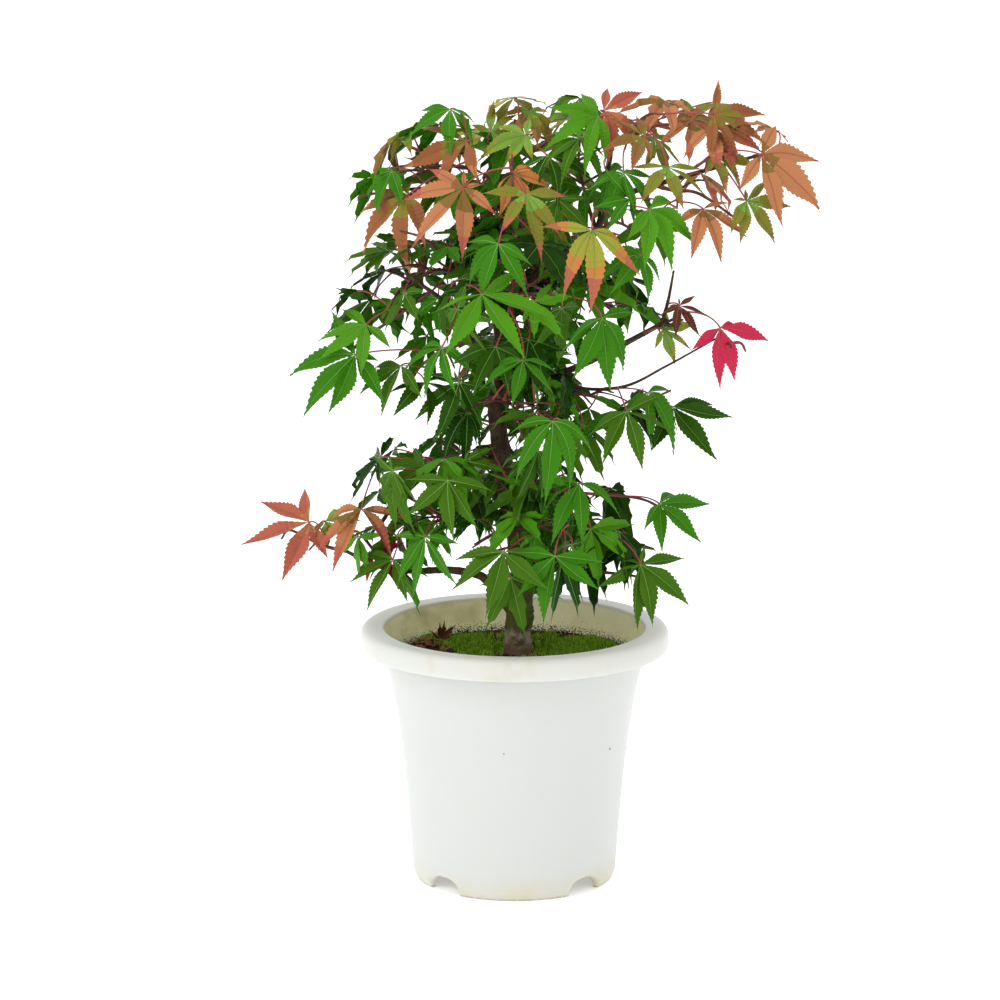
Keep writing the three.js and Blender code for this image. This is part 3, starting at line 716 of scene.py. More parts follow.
stains = [
    (brown, 1.0, [(streaks, 0.35, 0.65)]),
    (grey_patch, 0.45, [(patches, 0.45, 0.6)]),
    (green_algae, 0.9, [(height, 0.125, 0.106), (height, 0.09, 0.097), (patches, 0.38, 0.56)]),
    (grey_foot, 1.0, [(height, 0.098, 0.090), (streaks, 0.35, 0.6, 0.5, 1.0)]),
    (pale_lime, 0.8, [(height, 0.1, 0.097), (height, 0.0905, 0.093), (patches, 0.44, 0.6)]),
    (pore, 0.7, [(pores, 0.12, 0.05)]),
]
tree.links.new(stained(tree, linear("#2A1A14"), stains), shader.inputs["Base Color"])
grain = add(tree, "ShaderNodeBump", {"Height": streaks, "Strength": 0.5, "Distance": 0.0003})
tree.links.new(grain.outputs["Normal"], shader.inputs["Normal"])

points, quads, fans = tubes(trunk_path[None], trunk_ring[None], trunk_sides)
make_piece("trunk", points, [quads, fans], [bark], ["trunk"])

# Twigs may leave the wood at its stations: those of the trunk above its bare foot, and those of
# each bough beyond its first fifth.
wood_stations = [trunk_path[60:]]
bough_sides = 14
for seed, (name, (first_radius, last_radius, places)) in enumerate(boughs.items(), 20):
    path = smooth_path(places, 90)
    radius = np.linspace(first_radius, last_radius, len(path))[:, None]
    radius = radius + bark_relief(path, radius, bough_sides, seed)
    points, quads, fans = tubes(path[None], radius[None], bough_sides)
    make_piece(name, points, [quads, fans], [bark], bough_nodes.get(name, []))
    wood_stations.append(path[20:])
wood_stations = np.vstack(wood_stations)


# ------------------------------------------------------------------ twigs
# From the boughs the year's twigs grow on into each spray of leaves: one twig runs out along
# the spray and side twigs leave it in opposite pairs. Every twig is red-brown and smooth.

# Each spray stands for the foliage node of its name. It has its root and its tip, how far it
# spreads across and how deep it is, its number of leaves and the set of tints they are from.
spray_fields = ("root", "tip", "across", "deep", "leaves", "tint")
spray_rows = {
    "top_left_mass": ((-4, 4, 277), (-54, 0, 272), 66, 42, 19, "turning"),
    "top_dome_mass": ((0, 0, 248), (1, -4, 304), 38, 34, 9, "turning"),
    "top_middle_mass": ((24, 8, 252), (25, 8, 301), 36, 42, 10, "fresh"),
    "top_right_pad": ((36, 0, 286), (77, -18, 297), 52, 24, 7, "warm"),
    "top_right_tip_pad": ((62, -22, 288), (96, -30, 292), 34, 28, 2, "warm"),
    "far_right_spray": ((84, -32, 290), (112, -45, 274), 24, 13, 0, "warm"),
    "right_hanging_spray": ((42, -12, 275), (101, -44, 254), 38, 24, 4, "warm"),
    "right_underside_pad": ((14, -18, 262), (67, -34, 248), 38, 22, 7, "turning"),
    "upper_left_mass": ((-5, 1, 242), (-63, -4, 224), 62, 52, 25, "green"),
    "upper_front_mass": ((2, -3, 238), (-4, -64, 226), 64, 58, 22, "green"),
    "upper_back_mass": ((0, 6, 246), (8, 66, 240), 76, 62, 29, "green"),
    "upper_right_mass": ((8, 5, 231), (54, 8, 215), 50, 40, 20, "green"),
    "left_spray": ((-44, 0, 267), (-72, 0, 262), 22, 9, 1, "turning"),
    "left_tip_spray": ((-38, -10, 222), (-83, -20, 194), 26, 16, 1, "green"),
    "left_hanging_spray": ((-26, -6, 214), (-48, -8, 182), 26, 20, 5, "green"),
    "withered_spray": ((57, -12, 211), (69, -14, 229), 14, 13, 0, "warm"),
    "crimson_leaf_spray": ((74, -20, 219), (97, -26, 203), 22, 10, 0, "warm"),
    "middle_front_mass": ((-4, -2, 192), (6, -60, 176), 58, 54, 24, "green"),
    "middle_right_mass": ((3, 3, 194), (66, -2, 173), 56, 44, 22, "green"),
    "middle_back_mass": ((-5, 6, 192), (-8, 64, 188), 66, 54, 26, "green"),
    "middle_left_mass": ((-8, 1, 168), (-60, -4, 147), 60, 48, 23, "green"),
    "low_front_mass": ((0, -2, 146), (4, -58, 126), 56, 44, 20, "green"),
    "low_right_mass": ((5, 2, 148), (45, 0, 128), 52, 48, 19, "green"),
    "low_back_mass": ((0, 5, 150), (2, 60, 134), 62, 50, 24, "green"),
    "low_left_mass": ((-10, 0, 142), (-62, 10, 127), 46, 28, 13, "fresh"),
    "low_left_pad": ((-44, 10, 125), (-82, 28, 136), 30, 24, 1, "warm"),
    "low_left_tip_spray": ((-72, 26, 133), (-109, 45, 120), 20, 11, 0, "warm"),
    "low_left_hanging_spray": ((-42, 8, 128), (-48, 6, 105), 15, 12, 1, "green"),
    "right_upper_spray": ((28, -8, 156), (74, -20, 140), 26, 14, 2, "green"),
    "right_lower_spray": ((34, -10, 134), (64, -18, 100), 24, 18, 1, "green"),
}
sprays = {name: dict(zip(spray_fields, row)) for name, row in spray_rows.items()}


def spray_axes(spray):
    """The spray's root, its line to the tip, and its side and upward directions."""
    root, tip = np.array(spray["root"], float), np.array(spray["tip"], float)
    forward = unit(tip - root)
    up = np.array([0, 1.0, 0]) if abs(forward[2]) > 0.8 else np.array([0, 0, 1.0])
    side = unit(np.cross(forward, up))
    return root, tip - root, forward, side, np.cross(side, forward)


def nearest(places, stations):
    """For each place, the number of the closest station."""
    return np.linalg.norm(places[:, None] - stations[None], axis=2).argmin(1)


twig_steps = 24

# The first and last radius of each kind of twig.
main_twig, side_twig, bare_twig = (0.85, 0.42), (0.55, 0.32), (0.62, 0.4)
twig_paths, twig_radii = [], []
for number, (name, spray) in enumerate(sprays.items()):
    rng = np.random.default_rng(300 + number)
    root, line, forward, side, above = spray_axes(spray)
    source = wood_stations[nearest((root + 0.1 * line)[None], wood_stations)[0]]
    droop = np.array([0, 0, -0.06]) * np.linalg.norm(line)
    middle = root + 0.45 * line - droop
    wander = (source + middle) / 2 + rng.normal(0, 1.0, 3)
    end = root + (0.7 if spray["leaves"] > 1 else 0.55) * line
    main = smooth_path([source, wander, middle, end], twig_steps)
    twig_paths.append(main)
    twig_radii.append(np.linspace(*main_twig, twig_steps))
    pairs = 3 if spray["deep"] > 25 else 1
    for at in np.linspace(0.32, 0.8, pairs):
        start = main[int(at * (twig_steps - 1))]
        for way in (-1, 1):
            reach = 0.3 * spray["across"] * rng.uniform(0.7, 1.1)
            lift = rng.uniform(-0.25, 0.45) * spray["deep"] * 0.5
            end = start + way * side * reach + forward * reach * 0.6 + above * lift
            middle = (start + end) / 2 + above * rng.uniform(0.5, 2.5)
            twig_paths.append(smooth_path([start, middle, end], twig_steps))
            twig_radii.append(np.linspace(*side_twig, twig_steps))

# Bare twig ends that stand out of the leaves.
bare_twigs = [
    [(-27, -19, 247), (-35, -21, 253), (-43, -22, 255.5)],
    [(49, -14, 189.5), (52, -16, 191), (59, -17, 194.5)],
    [(-24, -8, 143), (-29, -12, 145.5), (-38, -18, 152), (-44, -20, 155.5)],
    [(66, -32, 280), (71, -34, 283.5), (78, -36, 287.5)],
    [(-16, -8, 276), (-17, -12, 284), (-18, -14, 296)],
    [(-3, -36, 258), (-1, -40, 270), (-1, -40, 286)],
]
for places in bare_twigs:
    twig_paths.append(smooth_path(places, twig_steps))
    twig_radii.append(np.linspace(*bare_twig, twig_steps))
twig_paths, twig_radii = np.array(twig_paths), np.array(twig_radii)

# A twig swells at its four nodes, where buds and leaves leave it.
nodes_on_twig = 4
from_node = (np.linspace(0, 1, twig_steps)[None] * nodes_on_twig) % 1 - 0.5
node_swelling = 1 + 0.28 * np.exp(-((from_node / 0.09) ** 2))

# Year-old maple twig, smooth and faintly glossy, red-brown in two shades that change over 8 mm.
twig_bark, tree, shader = surface("maple_twig_red_brown", "#5E2824", 0.5)
place = add(tree, "ShaderNodeTexCoord").outputs["Object"]
shade = add(tree, "ShaderNodeTexNoise", {"Vector": place, "Scale": 120.0, "Detail": 3.0}).outputs["Fac"]
stains = [("#7A3830", 1.0, [(shade, 0.4, 0.62)])]
tree.links.new(stained(tree, linear("#451B1A"), stains), shader.inputs["Base Color"])
twig_sides = 7
points, quads, fans = tubes(twig_paths, twig_radii * node_swelling, twig_sides)
make_piece("twigs", points, [quads, fans], [twig_bark])

# Leaf stalks may leave a twig beyond its first quarter, or every third station of the wood.
twig_stations = np.concatenate([twig_paths[:, 6:].reshape(-1, 3), wood_stations[::3]])


# ------------------------------------------------------------------ leaves
# Each leaf is a thin hand of five or seven saw-edged fingers, joined near the stalk and
# hanging from it. Green leaves fill the crown; those at the ends of the upper right and low
# left boughs have turned salmon, bronze and olive, and a few are crimson.

tints = {
    "bright_green": "#4C8C0E",
    "green": "#387806",
    "grass_green": "#416A0A",
    "deep_green": "#2C5302",
    # This near-black green is partly a real dark leaf colour and partly painted shade, for leaves deep in the
    # crown and some in its green masses.
    "dark_green": "#1B4000",
    "light_green": "#7A9C3C",
    "yellow_green": "#9A9838",
    "olive": "#7F7A2A",
    "olive_brown": "#836430",
    "salmon": "#B5774E",
    "coral": "#B25F4A",
    "bronze": "#935C36",
    "orange": "#C07C40",
    "crimson": "#C42A4C",
    "dry_brown": "#5C3A28",
    "straw": "#A88C58",
}
names = list(tints)
tint_number = {name: number for number, name in enumerate(tints)}

# What a spray's leaves choose from: a tint that stands twice is chosen twice as often.
spray_tints = {
    "green": [
        "bright_green", "green", "green", "grass_green", "grass_green",
        # The near-black green dealt here is partly painted shade inside the crown's green masses.
        "deep_green", "deep_green", "dark_green", "dark_green",
    ],
    "fresh": ["bright_green", "green", "light_green", "grass_green", "green"],
    "turning": [
        "olive", "green", "grass_green", "yellow_green", "olive_brown", "bronze", "light_green", "green",
    ],
    "warm": ["salmon", "olive", "bronze", "olive", "olive_brown", "salmon", "green"],
}

# A leaf turns from its finger tips inwards and stays greener at its heart: after each main tint,
# the tint of its tips, of its heart, and of the part between main and tip.
turned_tips = {
    "olive": "salmon", "yellow_green": "coral", "olive_brown": "coral",
    "bronze": "salmon", "salmon": "coral", "light_green": "olive",
}
hearts = {
    "salmon": "olive_brown", "coral": "salmon", "bronze": "olive",
    "olive_brown": "olive", "olive": "light_green", "orange": "olive",
}
between = {
    ("yellow_green", "coral"): "orange",
    ("olive", "salmon"): "olive_brown",
    ("olive_brown", "coral"): "bronze",
    ("olive", "crimson"): "coral",
    ("light_green", "olive"): "yellow_green",
}

# The fingers in pairs from the middle one, as angles from it and as shares of the leaf's length.
FINGER_ANGLES = np.radians([0, 46, -46, 92, -92, 138, -138])
FINGER_LENGTHS = np.array([1.08, 0.98, 0.98, 0.7, 0.7, 0.3, 0.3])
FINGERS = len(FINGER_ANGLES)
WEDGE_SLOPE = math.tan(math.radians(22))
TOOTH = 0.075


def leaf_blades(rng, base, pointing, facing, length, steps, width, droop, fold, fingers):
    """The points of many leaves at once, over the grid of leaf, finger, step and side.
    A finger's half width is a power curve, t^1.35 (1 - t)^2, held near the base under the wedge
    that its neighbours leave it; every second step stands out and forward as a tooth. The
    finger bends away from the facing side by the square of t, leans over on its own line by a
    small angle, and its edges fold up."""
    count = len(base)
    t = np.linspace(0, 1, steps)
    tooth = np.where(np.arange(steps) % 2 == 1, 1.0, -1.0) * (np.arange(steps) > 1)
    angles = FINGER_ANGLES + rng.normal(0, 0.11, (count, FINGERS))
    present = fingers > np.arange(FINGERS)[None]
    lengths = length[:, None] * FINGER_LENGTHS * rng.uniform(0.86, 1.1, (count, FINGERS)) * present
    across = np.cross(facing, pointing)
    cos, sin = np.cos(angles)[..., None], np.sin(angles)[..., None]
    out = cos * pointing[:, None] + sin * across[:, None]
    beside = cos * across[:, None] - sin * pointing[:, None]
    shape = t**1.35 * (1 - t) ** 2
    shape = shape / shape.max() * width[:, None, None] * (1 + TOOTH * tooth)
    half = np.minimum(shape, t * WEDGE_SLOPE)
    half[..., -1] = 0
    half = half * lengths[..., None]
    reach = (t + 0.3 / (steps - 1) * tooth) * (t < 1) + (t == 1)
    bend = droop[:, None] * rng.uniform(0.2, 1.8, (count, FINGERS))
    lean = rng.normal(0, 0.35, (count, FINGERS))
    curl = rng.normal(0, 0.09, (count, FINGERS))
    ripple = 0.02 * np.sin(9 * t + rng.uniform(0, 6, (count, FINGERS, 1)))
    down = -0.45 * facing + np.array([0, 0, -0.8])
    sag = down[:, None] - (down[:, None] * out).sum(-1, keepdims=True) * out
    sunk = (bend[..., None] * t**2 * lengths[..., None])[..., None]
    outwards = (reach * (1 - 0.25 * bend[..., None] * t) * lengths[..., None])[..., None]
    middle = base[:, None, None] + out[:, :, None] * outwards
    rippled = (ripple * t * lengths[..., None])[..., None]
    middle = middle + sag[:, :, None] * sunk + facing[:, None, None] * rippled
    middle = middle + beside[:, :, None] * (curl[..., None] * t**2 * lengths[..., None])[..., None]
    level, upright = np.cos(lean)[..., None, None], np.sin(lean)[..., None, None]
    tilted_side = beside[:, :, None] * level + facing[:, None, None] * upright
    tilted_face = facing[:, None, None] * level - beside[:, :, None] * upright
    sideways = tilted_side * half[..., None]
    raised = tilted_face * (half * fold[:, None, None])[..., None]
    return np.stack([middle - sideways + raised, middle, middle + sideways + raised], -2)


def leaf_faces(points, fingers):
    """The quads and end triangles of the leaves' fingers, each with the number of its finger,
    counted through all the leaves, and its share of the way out along it."""
    count, _, steps = points.shape[:3]
    size = steps * 3
    step = np.arange(1, steps - 2)
    right = np.stack([step * 3, step * 3 + 3, step * 3 + 4, step * 3 + 1], -1)
    left = np.stack([step * 3 + 1, step * 3 + 4, step * 3 + 5, step * 3 + 2], -1)
    quads = np.vstack([right, left])
    end = (steps - 2) * 3
    ends = np.array([[1, 3, 4], [1, 4, 5], [end, end + 4, end + 1], [end + 1, end + 4, end + 2]])
    start = size * np.arange(count * FINGERS)[:, None, None]
    present = (fingers > np.arange(FINGERS)[None]).ravel()
    finger = np.arange(count * FINGERS)
    quad_faces, end_faces = (quads[None] + start)[present], (ends[None] + start)[present]
    quad_step = np.broadcast_to(np.concatenate([step, step])[None] / (steps - 1), quad_faces.shape[:2])
    end_step = np.broadcast_to(np.array([0, 0, 1, 1]) * (1 - 1 / steps), end_faces.shape[:2])
    quad_finger = np.broadcast_to(finger[present][:, None], quad_faces.shape[:2])
    end_finger = np.broadcast_to(finger[present][:, None], end_faces.shape[:2])
    all_quads = (quad_faces.reshape(-1, 4), quad_finger.ravel(), quad_step.ravel())
    all_ends = (end_faces.reshape(-1, 3), end_finger.ravel(), end_step.ravel())
    return all_quads, all_ends


# The leading leaves: those that stand out at the front and ends of the crown. Each has the
# place of its stalk's end, its heading in degrees from hanging straight down towards the
# right, its size and its main tint. A few have their own tint at the finger tips, and the share
# of the finger where that begins.
leading = [
    ((-12, -62, 237), 16, 30, "bright_green"),
    ((-6, -58, 255), -6, 23, "green"),
    ((14, -60, 190), -3, 27, "green"),
    ((3, -56, 212), 0, 21, "green"),
    ((-7, -50, 216), -20, 19, "deep_green"),
    ((-27, -38, 214), -16, 22, "green"),
    ((-25, -34, 163), 1, 23, "grass_green"),
    ((24, -40, 163), -17, 24, "green"),
    ((-4, -50, 139), 2, 25, "grass_green"),
    ((15, -52, 138), -3, 24, "green", ("straw", 0.86)),
    ((32, -45, 226), 11, 26, "green"),
    ((42, -32, 189), 19, 22, "grass_green"),
    ((60, -10, 187), 15, 25, "deep_green"),
    ((50, -20, 194), 30, 24, "green"),
    ((-21, -14, 197), -12, 22, "deep_green"),
    # A leaf deep in the crown, given the near-black green as partly painted shade.
    ((-18, -8, 184), -32, 21, "dark_green"),
    ((-34, -18, 138), -6, 23, "green"),
    ((-47, 2, 125), -7, 21, "grass_green"),
    ((-60, -18, 208), -50, 30, "green"),
    ((-56, -14, 219), -30, 22, "bright_green"),
    ((55, -18, 151), 40, 21, "green"),
    ((48, -16, 127), 14, 26, "grass_green"),
    ((28, -58, 260), -5, 27, "yellow_green", ("coral", 0.45)),
    ((46, -50, 250), -32, 20, "green"),
    ((49, -52, 267), 32, 25, "bright_green"),
    ((40, -40, 279), 0, 20, "green"),
    ((42, -46, 270), -77, 15, "green"),
    ((24, -24, 290), -25, 20, "grass_green"),
    ((35, -22, 277), 12, 18, "green"),
    ((12, -26, 284), 20, 20, "deep_green"),
    ((31, -22, 298), -62, 24, "bright_green"),
    ((-19, -36, 273), -35, 27, "salmon"),
    ((-40, -14, 268), -64, 30, "bronze"),
    ((-1, -34, 278), 31, 17, "orange"),
    ((4, -46, 272), 3, 23, "olive", ("crimson", 0.7)),
    ((-24, -14, 300), -11, 18, "green"),
    ((-18, -24, 289), -84, 23, "bronze"),
    ((-9, -10, 291), 138, 13, "olive"),
    ((4, -20, 291), -84, 18, "light_green"),
    ((73, -30, 295), 30, 24, "salmon"),
    ((73, -34, 300), 79, 23, "bronze"),
    ((33, -20, 300), 75, 20, "coral"),
    ((48, -30, 291), -70, 17, "olive_brown"),
    ((56, -38, 281), -2, 20, "olive"),
    ((69, -42, 266), 10, 23, "salmon"),
    ((90, -44, 286), 66, 29, "salmon", ("dry_brown", 0.85)),
    ((85, -42, 269), 39, 20, "olive"),
    ((74, -36, 285), 34, 18, "olive"),
    ((-59, 0, 145), -2, 26, "salmon"),
    ((-81, 30, 134), -63, 26, "coral"),
    ((-55, 8, 125), 68, 15, "crimson"),
    ((77, -22, 219), 27, 22, "crimson"),
    ((62, -12, 226), 20, 14, "dry_brown"),
    ((56, -12, 217), 63, 15, "light_green"),
    ((-43, -12, 203), -8, 20, "grass_green"),
    ((-34, -14, 197), 6, 20, "deep_green"),
]
leading_scale = 1.06
crown_half_width = 110

base, pointing, facing, length, main_tint, tip_tint, tip_from = [], [], [], [], [], [], []
rng = np.random.default_rng(77)
for place, heading, size, tint, *own in leading:
    to_side = place[0] / crown_half_width
    face = unit(np.array([to_side * 0.5 + rng.normal(0, 0.22), -0.8, rng.uniform(0.3, 1.0)]))
    hang = np.array([math.sin(math.radians(heading)), 0, -math.cos(math.radians(heading))])
    base.append(place)
    facing.append(face)
    pointing.append(unit(hang - hang.dot(face) * face))
    length.append(leading_scale * size)
    main_tint.append(tint_number[tint])
    tip, turned_from = own[0] if own else (turned_tips.get(tint, tint), rng.uniform(0.35, 0.7))
    tip_tint.append(tint_number[tip])
    tip_from.append(turned_from)
leading_count = len(base)
leading_base = np.array(base, float)

# The crown's other leaves stand round their spray's line, a golden turn apart, facing outwards
# and hanging. They leave a few openings through the crown, each given as its middle's x and z
# and half its width and height. None hangs in front of a leading leaf: within clear_beside of it
# to any side, and nearer the front than clear_before behind it.
openings = np.array([
    (-37, 188, 10, 9), (40, 207, 12, 5), (-18, 127, 8, 6), (33, 275, 3, 6),
    (44, 200, 14, 6), (41, 160, 9, 8), (66, 240, 12, 12), (66, 176, 6, 6),
])
opening_margin = 7
opening_middle, opening_half = openings[:, :2], openings[:, 2:] + opening_margin
clear_beside, clear_before = 15, 6

for number, (name, spray) in enumerate(sprays.items()):
    rng = np.random.default_rng(500 + number)
    root, line, forward, side, above = spray_axes(spray)
    colours = spray_tints[spray["tint"]]
    for leaf in range(spray["leaves"]):
        along = (leaf + rng.uniform(0.3, 0.9)) / spray["leaves"]
        turn = leaf * 2.4 + rng.uniform(-0.4, 0.4)
        ring = math.sqrt(max(0, 1 - (1 - 2 * along) ** 2)) ** 0.8 * (1.12 - 0.34 * along)
        share = ring * rng.uniform(0.6, 0.92)
        outward = math.cos(turn) * side + math.sin(turn) * above
        spread = math.cos(turn) * side * spray["across"] + math.sin(turn) * above * spray["deep"]
        middle = root + along * line + share * spread / 2
        size = rng.uniform(16, 25)
        away = unit(outward + forward * (along - 0.2) * 1.3)
        face = unit(away * 0.75 + np.array([0, 0, rng.uniform(0.3, 1.2)]) + rng.normal(0, 0.28, 3))
        hang = unit(away * np.array([1, 1, 0.3]) * 0.6 + np.array([0, 0, -0.75]) + rng.normal(0, 0.32, 3))
        hang = unit(hang - hang.dot(face) * face)
        start = middle - 0.4 * size * hang
        if np.any((((middle[[0, 2]] - opening_middle) / opening_half) ** 2).sum(1) < 1):
            continue
        beside_it = np.hypot(leading_base[:, 0] - start[0], leading_base[:, 2] - start[2]) < clear_beside
        behind_it = leading_base[:, 1] > start[1] - clear_before
        if middle[1] < 0 and np.any(beside_it & behind_it):
            continue
        base.append(start)
        facing.append(face)
        pointing.append(hang)
        length.append(size)
        tint = tint_number[colours[rng.integers(len(colours))]]
        main_tint.append(tint)
        tint_name = names[tint]
        dry = rng.uniform() < 0.1
        tip_tint.append(tint_number["straw" if dry else turned_tips.get(tint_name, tint_name)])
        tip_from.append(0.8 if dry else rng.uniform(0.3, 0.8))
base, pointing, facing = np.array(base, float), np.array(pointing), np.array(facing)
length, tip_from = np.array(length, float), np.array(tip_from)
main_tint, tip_tint = np.array(main_tint), np.array(tip_tint)
tint_pairs = [(names[main], names[tip]) for main, tip in zip(main_tint, tip_tint)]
middle_tint = np.array([tint_number[between.get(pair, pair[0])] for pair in tint_pairs])
heart_tint = np.array([tint_number[hearts.get(main, main)] for main, _ in tint_pairs])

# Thin leaf skin with a dull wax, its colour plain over each leaf part, and puckered between
# the veins about every 2 mm.
leaf_materials = []
for name, colour in tints.items():
    leaf_skin, tree, shader = surface("maple_leaf_" + name, colour, 0.46, Specular_IOR_Level=0.11)
    place = add(tree, "ShaderNodeTexCoord").outputs["Object"]
    puckers = add(tree, "ShaderNodeTexNoise", {"Vector": place, "Scale": 500.0, "Detail": 3.0}).outputs["Fac"]
    skin_relief = add(tree, "ShaderNodeBump", {"Height": puckers, "Strength": 0.5, "Distance": 0.0006})
    tree.links.new(skin_relief.outputs["Normal"], shader.inputs["Normal"])
    leaf_materials.append(leaf_skin)

# Leading leaves have a fine saw edge and the others a coarse one of few faces, as there are
# hundreds. Leaves that would reach past the crown's depth, front or back, are set in by as much.
CROWN_DEPTH = 152
leading_steps, crown_steps = 31, 8
rng = np.random.default_rng(88)
groups = [slice(0, leading_count), slice(leading_count, len(base))]
leaf_points, leaf_quads, leaf_ends, rib_paths = [], [], [], []
offset = 0
for which, steps in zip(groups, (leading_steps, crown_steps)):
    count = len(base[which])
    fingers = rng.choice([5, 7], (count, 1), p=[0.75, 0.25])
    width = rng.uniform(0.112, 0.145, count)
    droop, fold = rng.uniform(0.05, 0.5, count), rng.uniform(0.15, 0.6, count)
    own = (base[which], pointing[which], facing[which], length[which])
    points = leaf_blades(rng, *own, steps, width, droop, fold, fingers)
    furthest = np.abs(points[..., 1]).max((1, 2, 3))
    overshoot = np.maximum(furthest - CROWN_DEPTH / 2, 0) * np.sign(base[which, 1])
    points[..., 1] -= overshoot[:, None, None, None]
    base[which, 1] -= overshoot
    (quads, quad_finger, quad_step), (ends, end_finger, end_step) = leaf_faces(points, fingers)
    leaf_points.append(points.reshape(-1, 3))
    leaf_quads.append((quads + offset, quad_finger + FINGERS * which.start, quad_step))
    leaf_ends.append((ends + offset, end_finger + FINGERS * which.start, end_step))
    offset += points.size // 3
    shown = np.nonzero((fingers > np.arange(FINGERS)[None]).ravel())[0]
    ribs = points[:, :, :, 1].reshape(count * FINGERS, steps, 3)[shown]
    leaf_of = np.repeat(np.arange(count), FINGERS)[shown] + which.start
    rib_paths.append((ribs[:, : steps - 1], facing[leaf_of], leaf_of))
leaf_points = np.vstack(leaf_points)
quads, quad_finger, quad_step = (np.concatenate(part) for part in zip(*leaf_quads))
ends, end_finger, end_step = (np.concatenate(part) for part in zip(*leaf_ends))

# Each finger turns at its own share of the way out, and its heart ends at another.
turn_at = np.repeat(tip_from, FINGERS) + rng.normal(0, 0.07, len(base) * FINGERS)
heart_to = rng.normal(0.24, 0.06, len(base) * FINGERS)


def face_tint(finger, step):
    """The greener heart of the leaf near its stalk, the main tint up to the finger's own turning
    point, the tint between for the next sixth of its length, and the tip's tint beyond. Each
    face's share is moved a little at random, which breaks up the borders."""
    step = step + rng.normal(0, 0.035, len(step))
    past = step - turn_at[finger]
    leaf = finger // FINGERS
    outer = np.where(past < 0, main_tint[leaf], np.where(past < 0.17, middle_tint[leaf], tip_tint[leaf]))
    return np.where(step < heart_to[finger], heart_tint[leaf], outer)


quad_tint = face_tint(quad_finger, quad_step)
end_tint = face_tint(end_finger, end_step)

# One piece for each tint. The green leaves stand for all the foliage nodes.
foliage_nodes = list(sprays)
for tint, number in tint_number.items():
    chosen = [quads[quad_tint == number], ends[end_tint == number]]
    if len(chosen[0]) + len(chosen[1]) == 0:
        continue
    stands_for = foliage_nodes if tint == "green" else []
    make_piece(
        "leaves_" + tint, leaf_points, chosen, [leaf_materials[number]], stands_for, smooth=False
    )

# One dead leaf has dropped and stands curled against the soil's mound on the left.
dead_fingers = np.array([[5]])
dead = leaf_blades(
    np.random.default_rng(5),
    base=np.array([[-29.0, 9, 92.0]]),
    pointing=unit(np.array([[0.3, 0.1, 1.0]])),
    facing=unit(np.array([[0.2, -1.0, 0.1]])),
    length=np.array([6.2]),
    steps=9,
    width=np.array([0.2]),
    droop=np.array([-0.9]),
    fold=np.array([1.1]),
    fingers=dead_fingers,
)
(dead_quads, _, _), (dead_ends, _, _) = leaf_faces(dead, dead_fingers)
make_piece("dead_leaf", dead, [dead_quads, dead_ends], [leaf_materials[tint_number["dry_brown"]]])

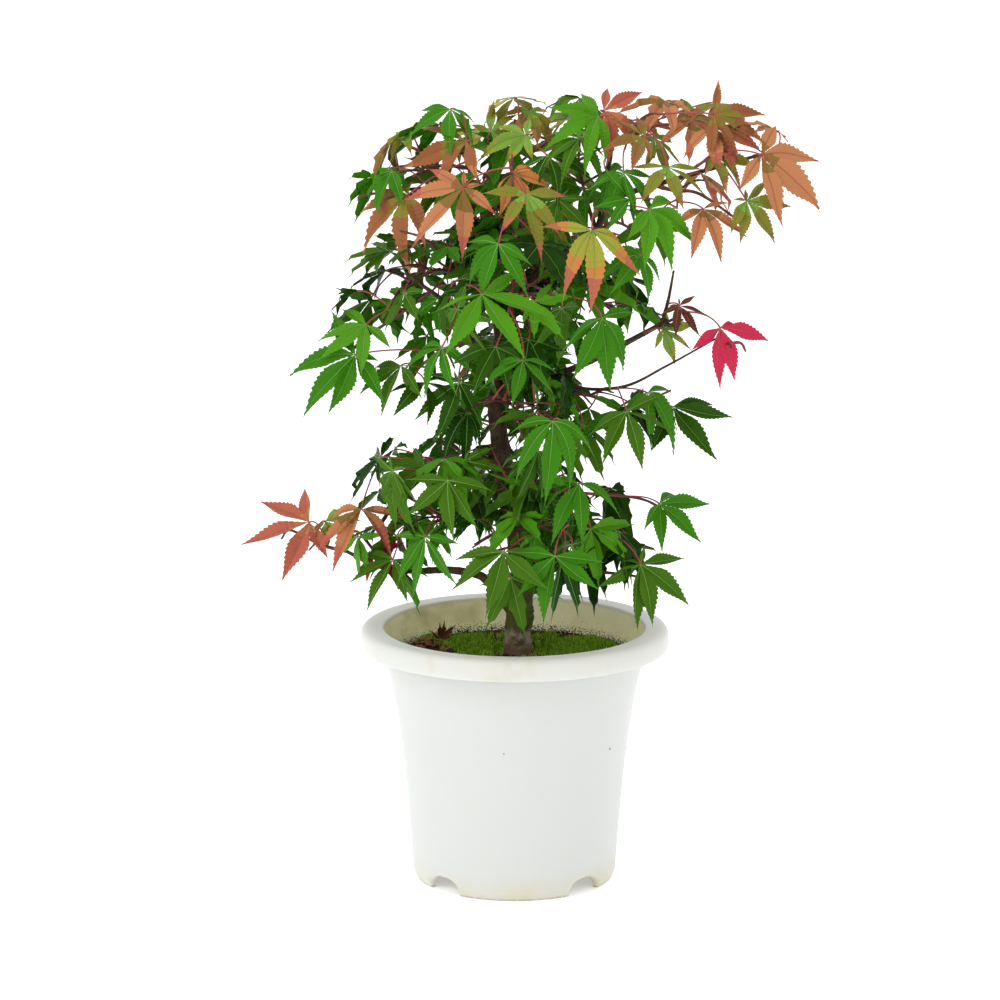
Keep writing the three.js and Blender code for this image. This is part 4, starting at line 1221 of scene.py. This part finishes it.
# The ribs: a thin raised line along every finger, pale green, or red on a leaf that has turned.
rib_green, _, _ = surface("leaf_rib_pale_green", "#5E9430", 0.5)
rib_red, _, _ = surface("leaf_rib_red", "#9C4A38", 0.5)
warm_tints = ("salmon", "coral", "bronze", "orange", "crimson", "olive_brown", "dry_brown")
warm = np.isin(names, warm_tints)
rib_at_stalk, rib_at_tip, rib_stands_out = 0.17, 0.05, 0.12
for paths, lift, rib_leaf in rib_paths:
    steps = paths.shape[1]
    beside = unit(np.cross(unit(np.gradient(paths, axis=1)), lift[:, None]))
    half = np.linspace(rib_at_stalk, rib_at_tip, steps)[None, :, None]
    raised = paths + lift[:, None] * rib_stands_out
    rib_points = np.stack([raised + beside * half, raised - beside * half], 2)
    rib_faces = grid(steps, 2)[None] + 2 * steps * np.arange(len(paths))[:, None, None]
    is_warm = warm[main_tint[rib_leaf]]
    kind = "leading" if rib_leaf[0] == 0 else "crown"
    pale, red = rib_faces[~is_warm].reshape(-1, 4), rib_faces[is_warm].reshape(-1, 4)
    make_piece("ribs_pale_" + kind, rib_points, [pale], [rib_green])
    make_piece("ribs_red_" + kind, rib_points, [red], [rib_red])


# ------------------------------------------------------------------ leaf stalks
# A thin wiry red stalk carries each leaf from its twig, arching over before the blade hangs.
# It would start a little above and behind the blade, and starts at the twig nearest to there.
# Where that is more than LONGEST_STALK away, a short spur twig first grows out towards it.

LONGEST_STALK = 27


def arch(start, bend, end, steps):
    """Curves from start to end that set out towards bend and arrive from it: at t they are
    (1 - t)^2 of start, 2 t (1 - t) of bend and t^2 of end."""
    t = np.linspace(0, 1, steps)[None, :, None]
    return (1 - t) ** 2 * start[:, None] + 2 * t * (1 - t) * bend[:, None] + t**2 * end[:, None]


wanted = base - pointing * (0.55 * length[:, None]) - facing * 7
stalk_start = twig_stations[nearest(wanted, twig_stations)]
far = np.linalg.norm(base - stalk_start, axis=1) > LONGEST_STALK
spur_end = (0.62 * wanted + 0.38 * stalk_start)[far]
spur_bend = (0.5 * (stalk_start[far] + spur_end)) + [0, 0, 3.0]
spur_paths = arch(stalk_start[far], spur_bend, spur_end, 12)
spur_radii = np.broadcast_to(np.linspace(0.55, 0.4, 12), (far.sum(), 12))
points, quads, fans = tubes(spur_paths, spur_radii, twig_sides)
make_piece("spur_twigs", points, [quads, fans], [twig_bark])

stalk_start[far] = spur_end
reach = np.linalg.norm(base - stalk_start, axis=1, keepdims=True)
bend = base - pointing * (0.42 * reach) + facing * (0.1 * reach)
bend[:, 2] = np.minimum(bend[:, 2], np.maximum(base[:, 2], stalk_start[:, 2]) + 1.5)
stalk_paths = arch(stalk_start, bend, base, 10)
stalk_radii = np.array([0.5, 0.38, 0.32, 0.3, 0.29, 0.29, 0.29, 0.3, 0.32, 0.38])
points, quads, fans = tubes(stalk_paths, np.broadcast_to(stalk_radii, (len(base), 10)), 6)

# Live leaf stalk: smooth, wiry and wine-red, with a slight gloss.
stalk_red, _, _ = surface("leaf_stalk_red", "#963A34", 0.42)
make_piece("leaf_stalks", points, [quads, fans], [stalk_red])
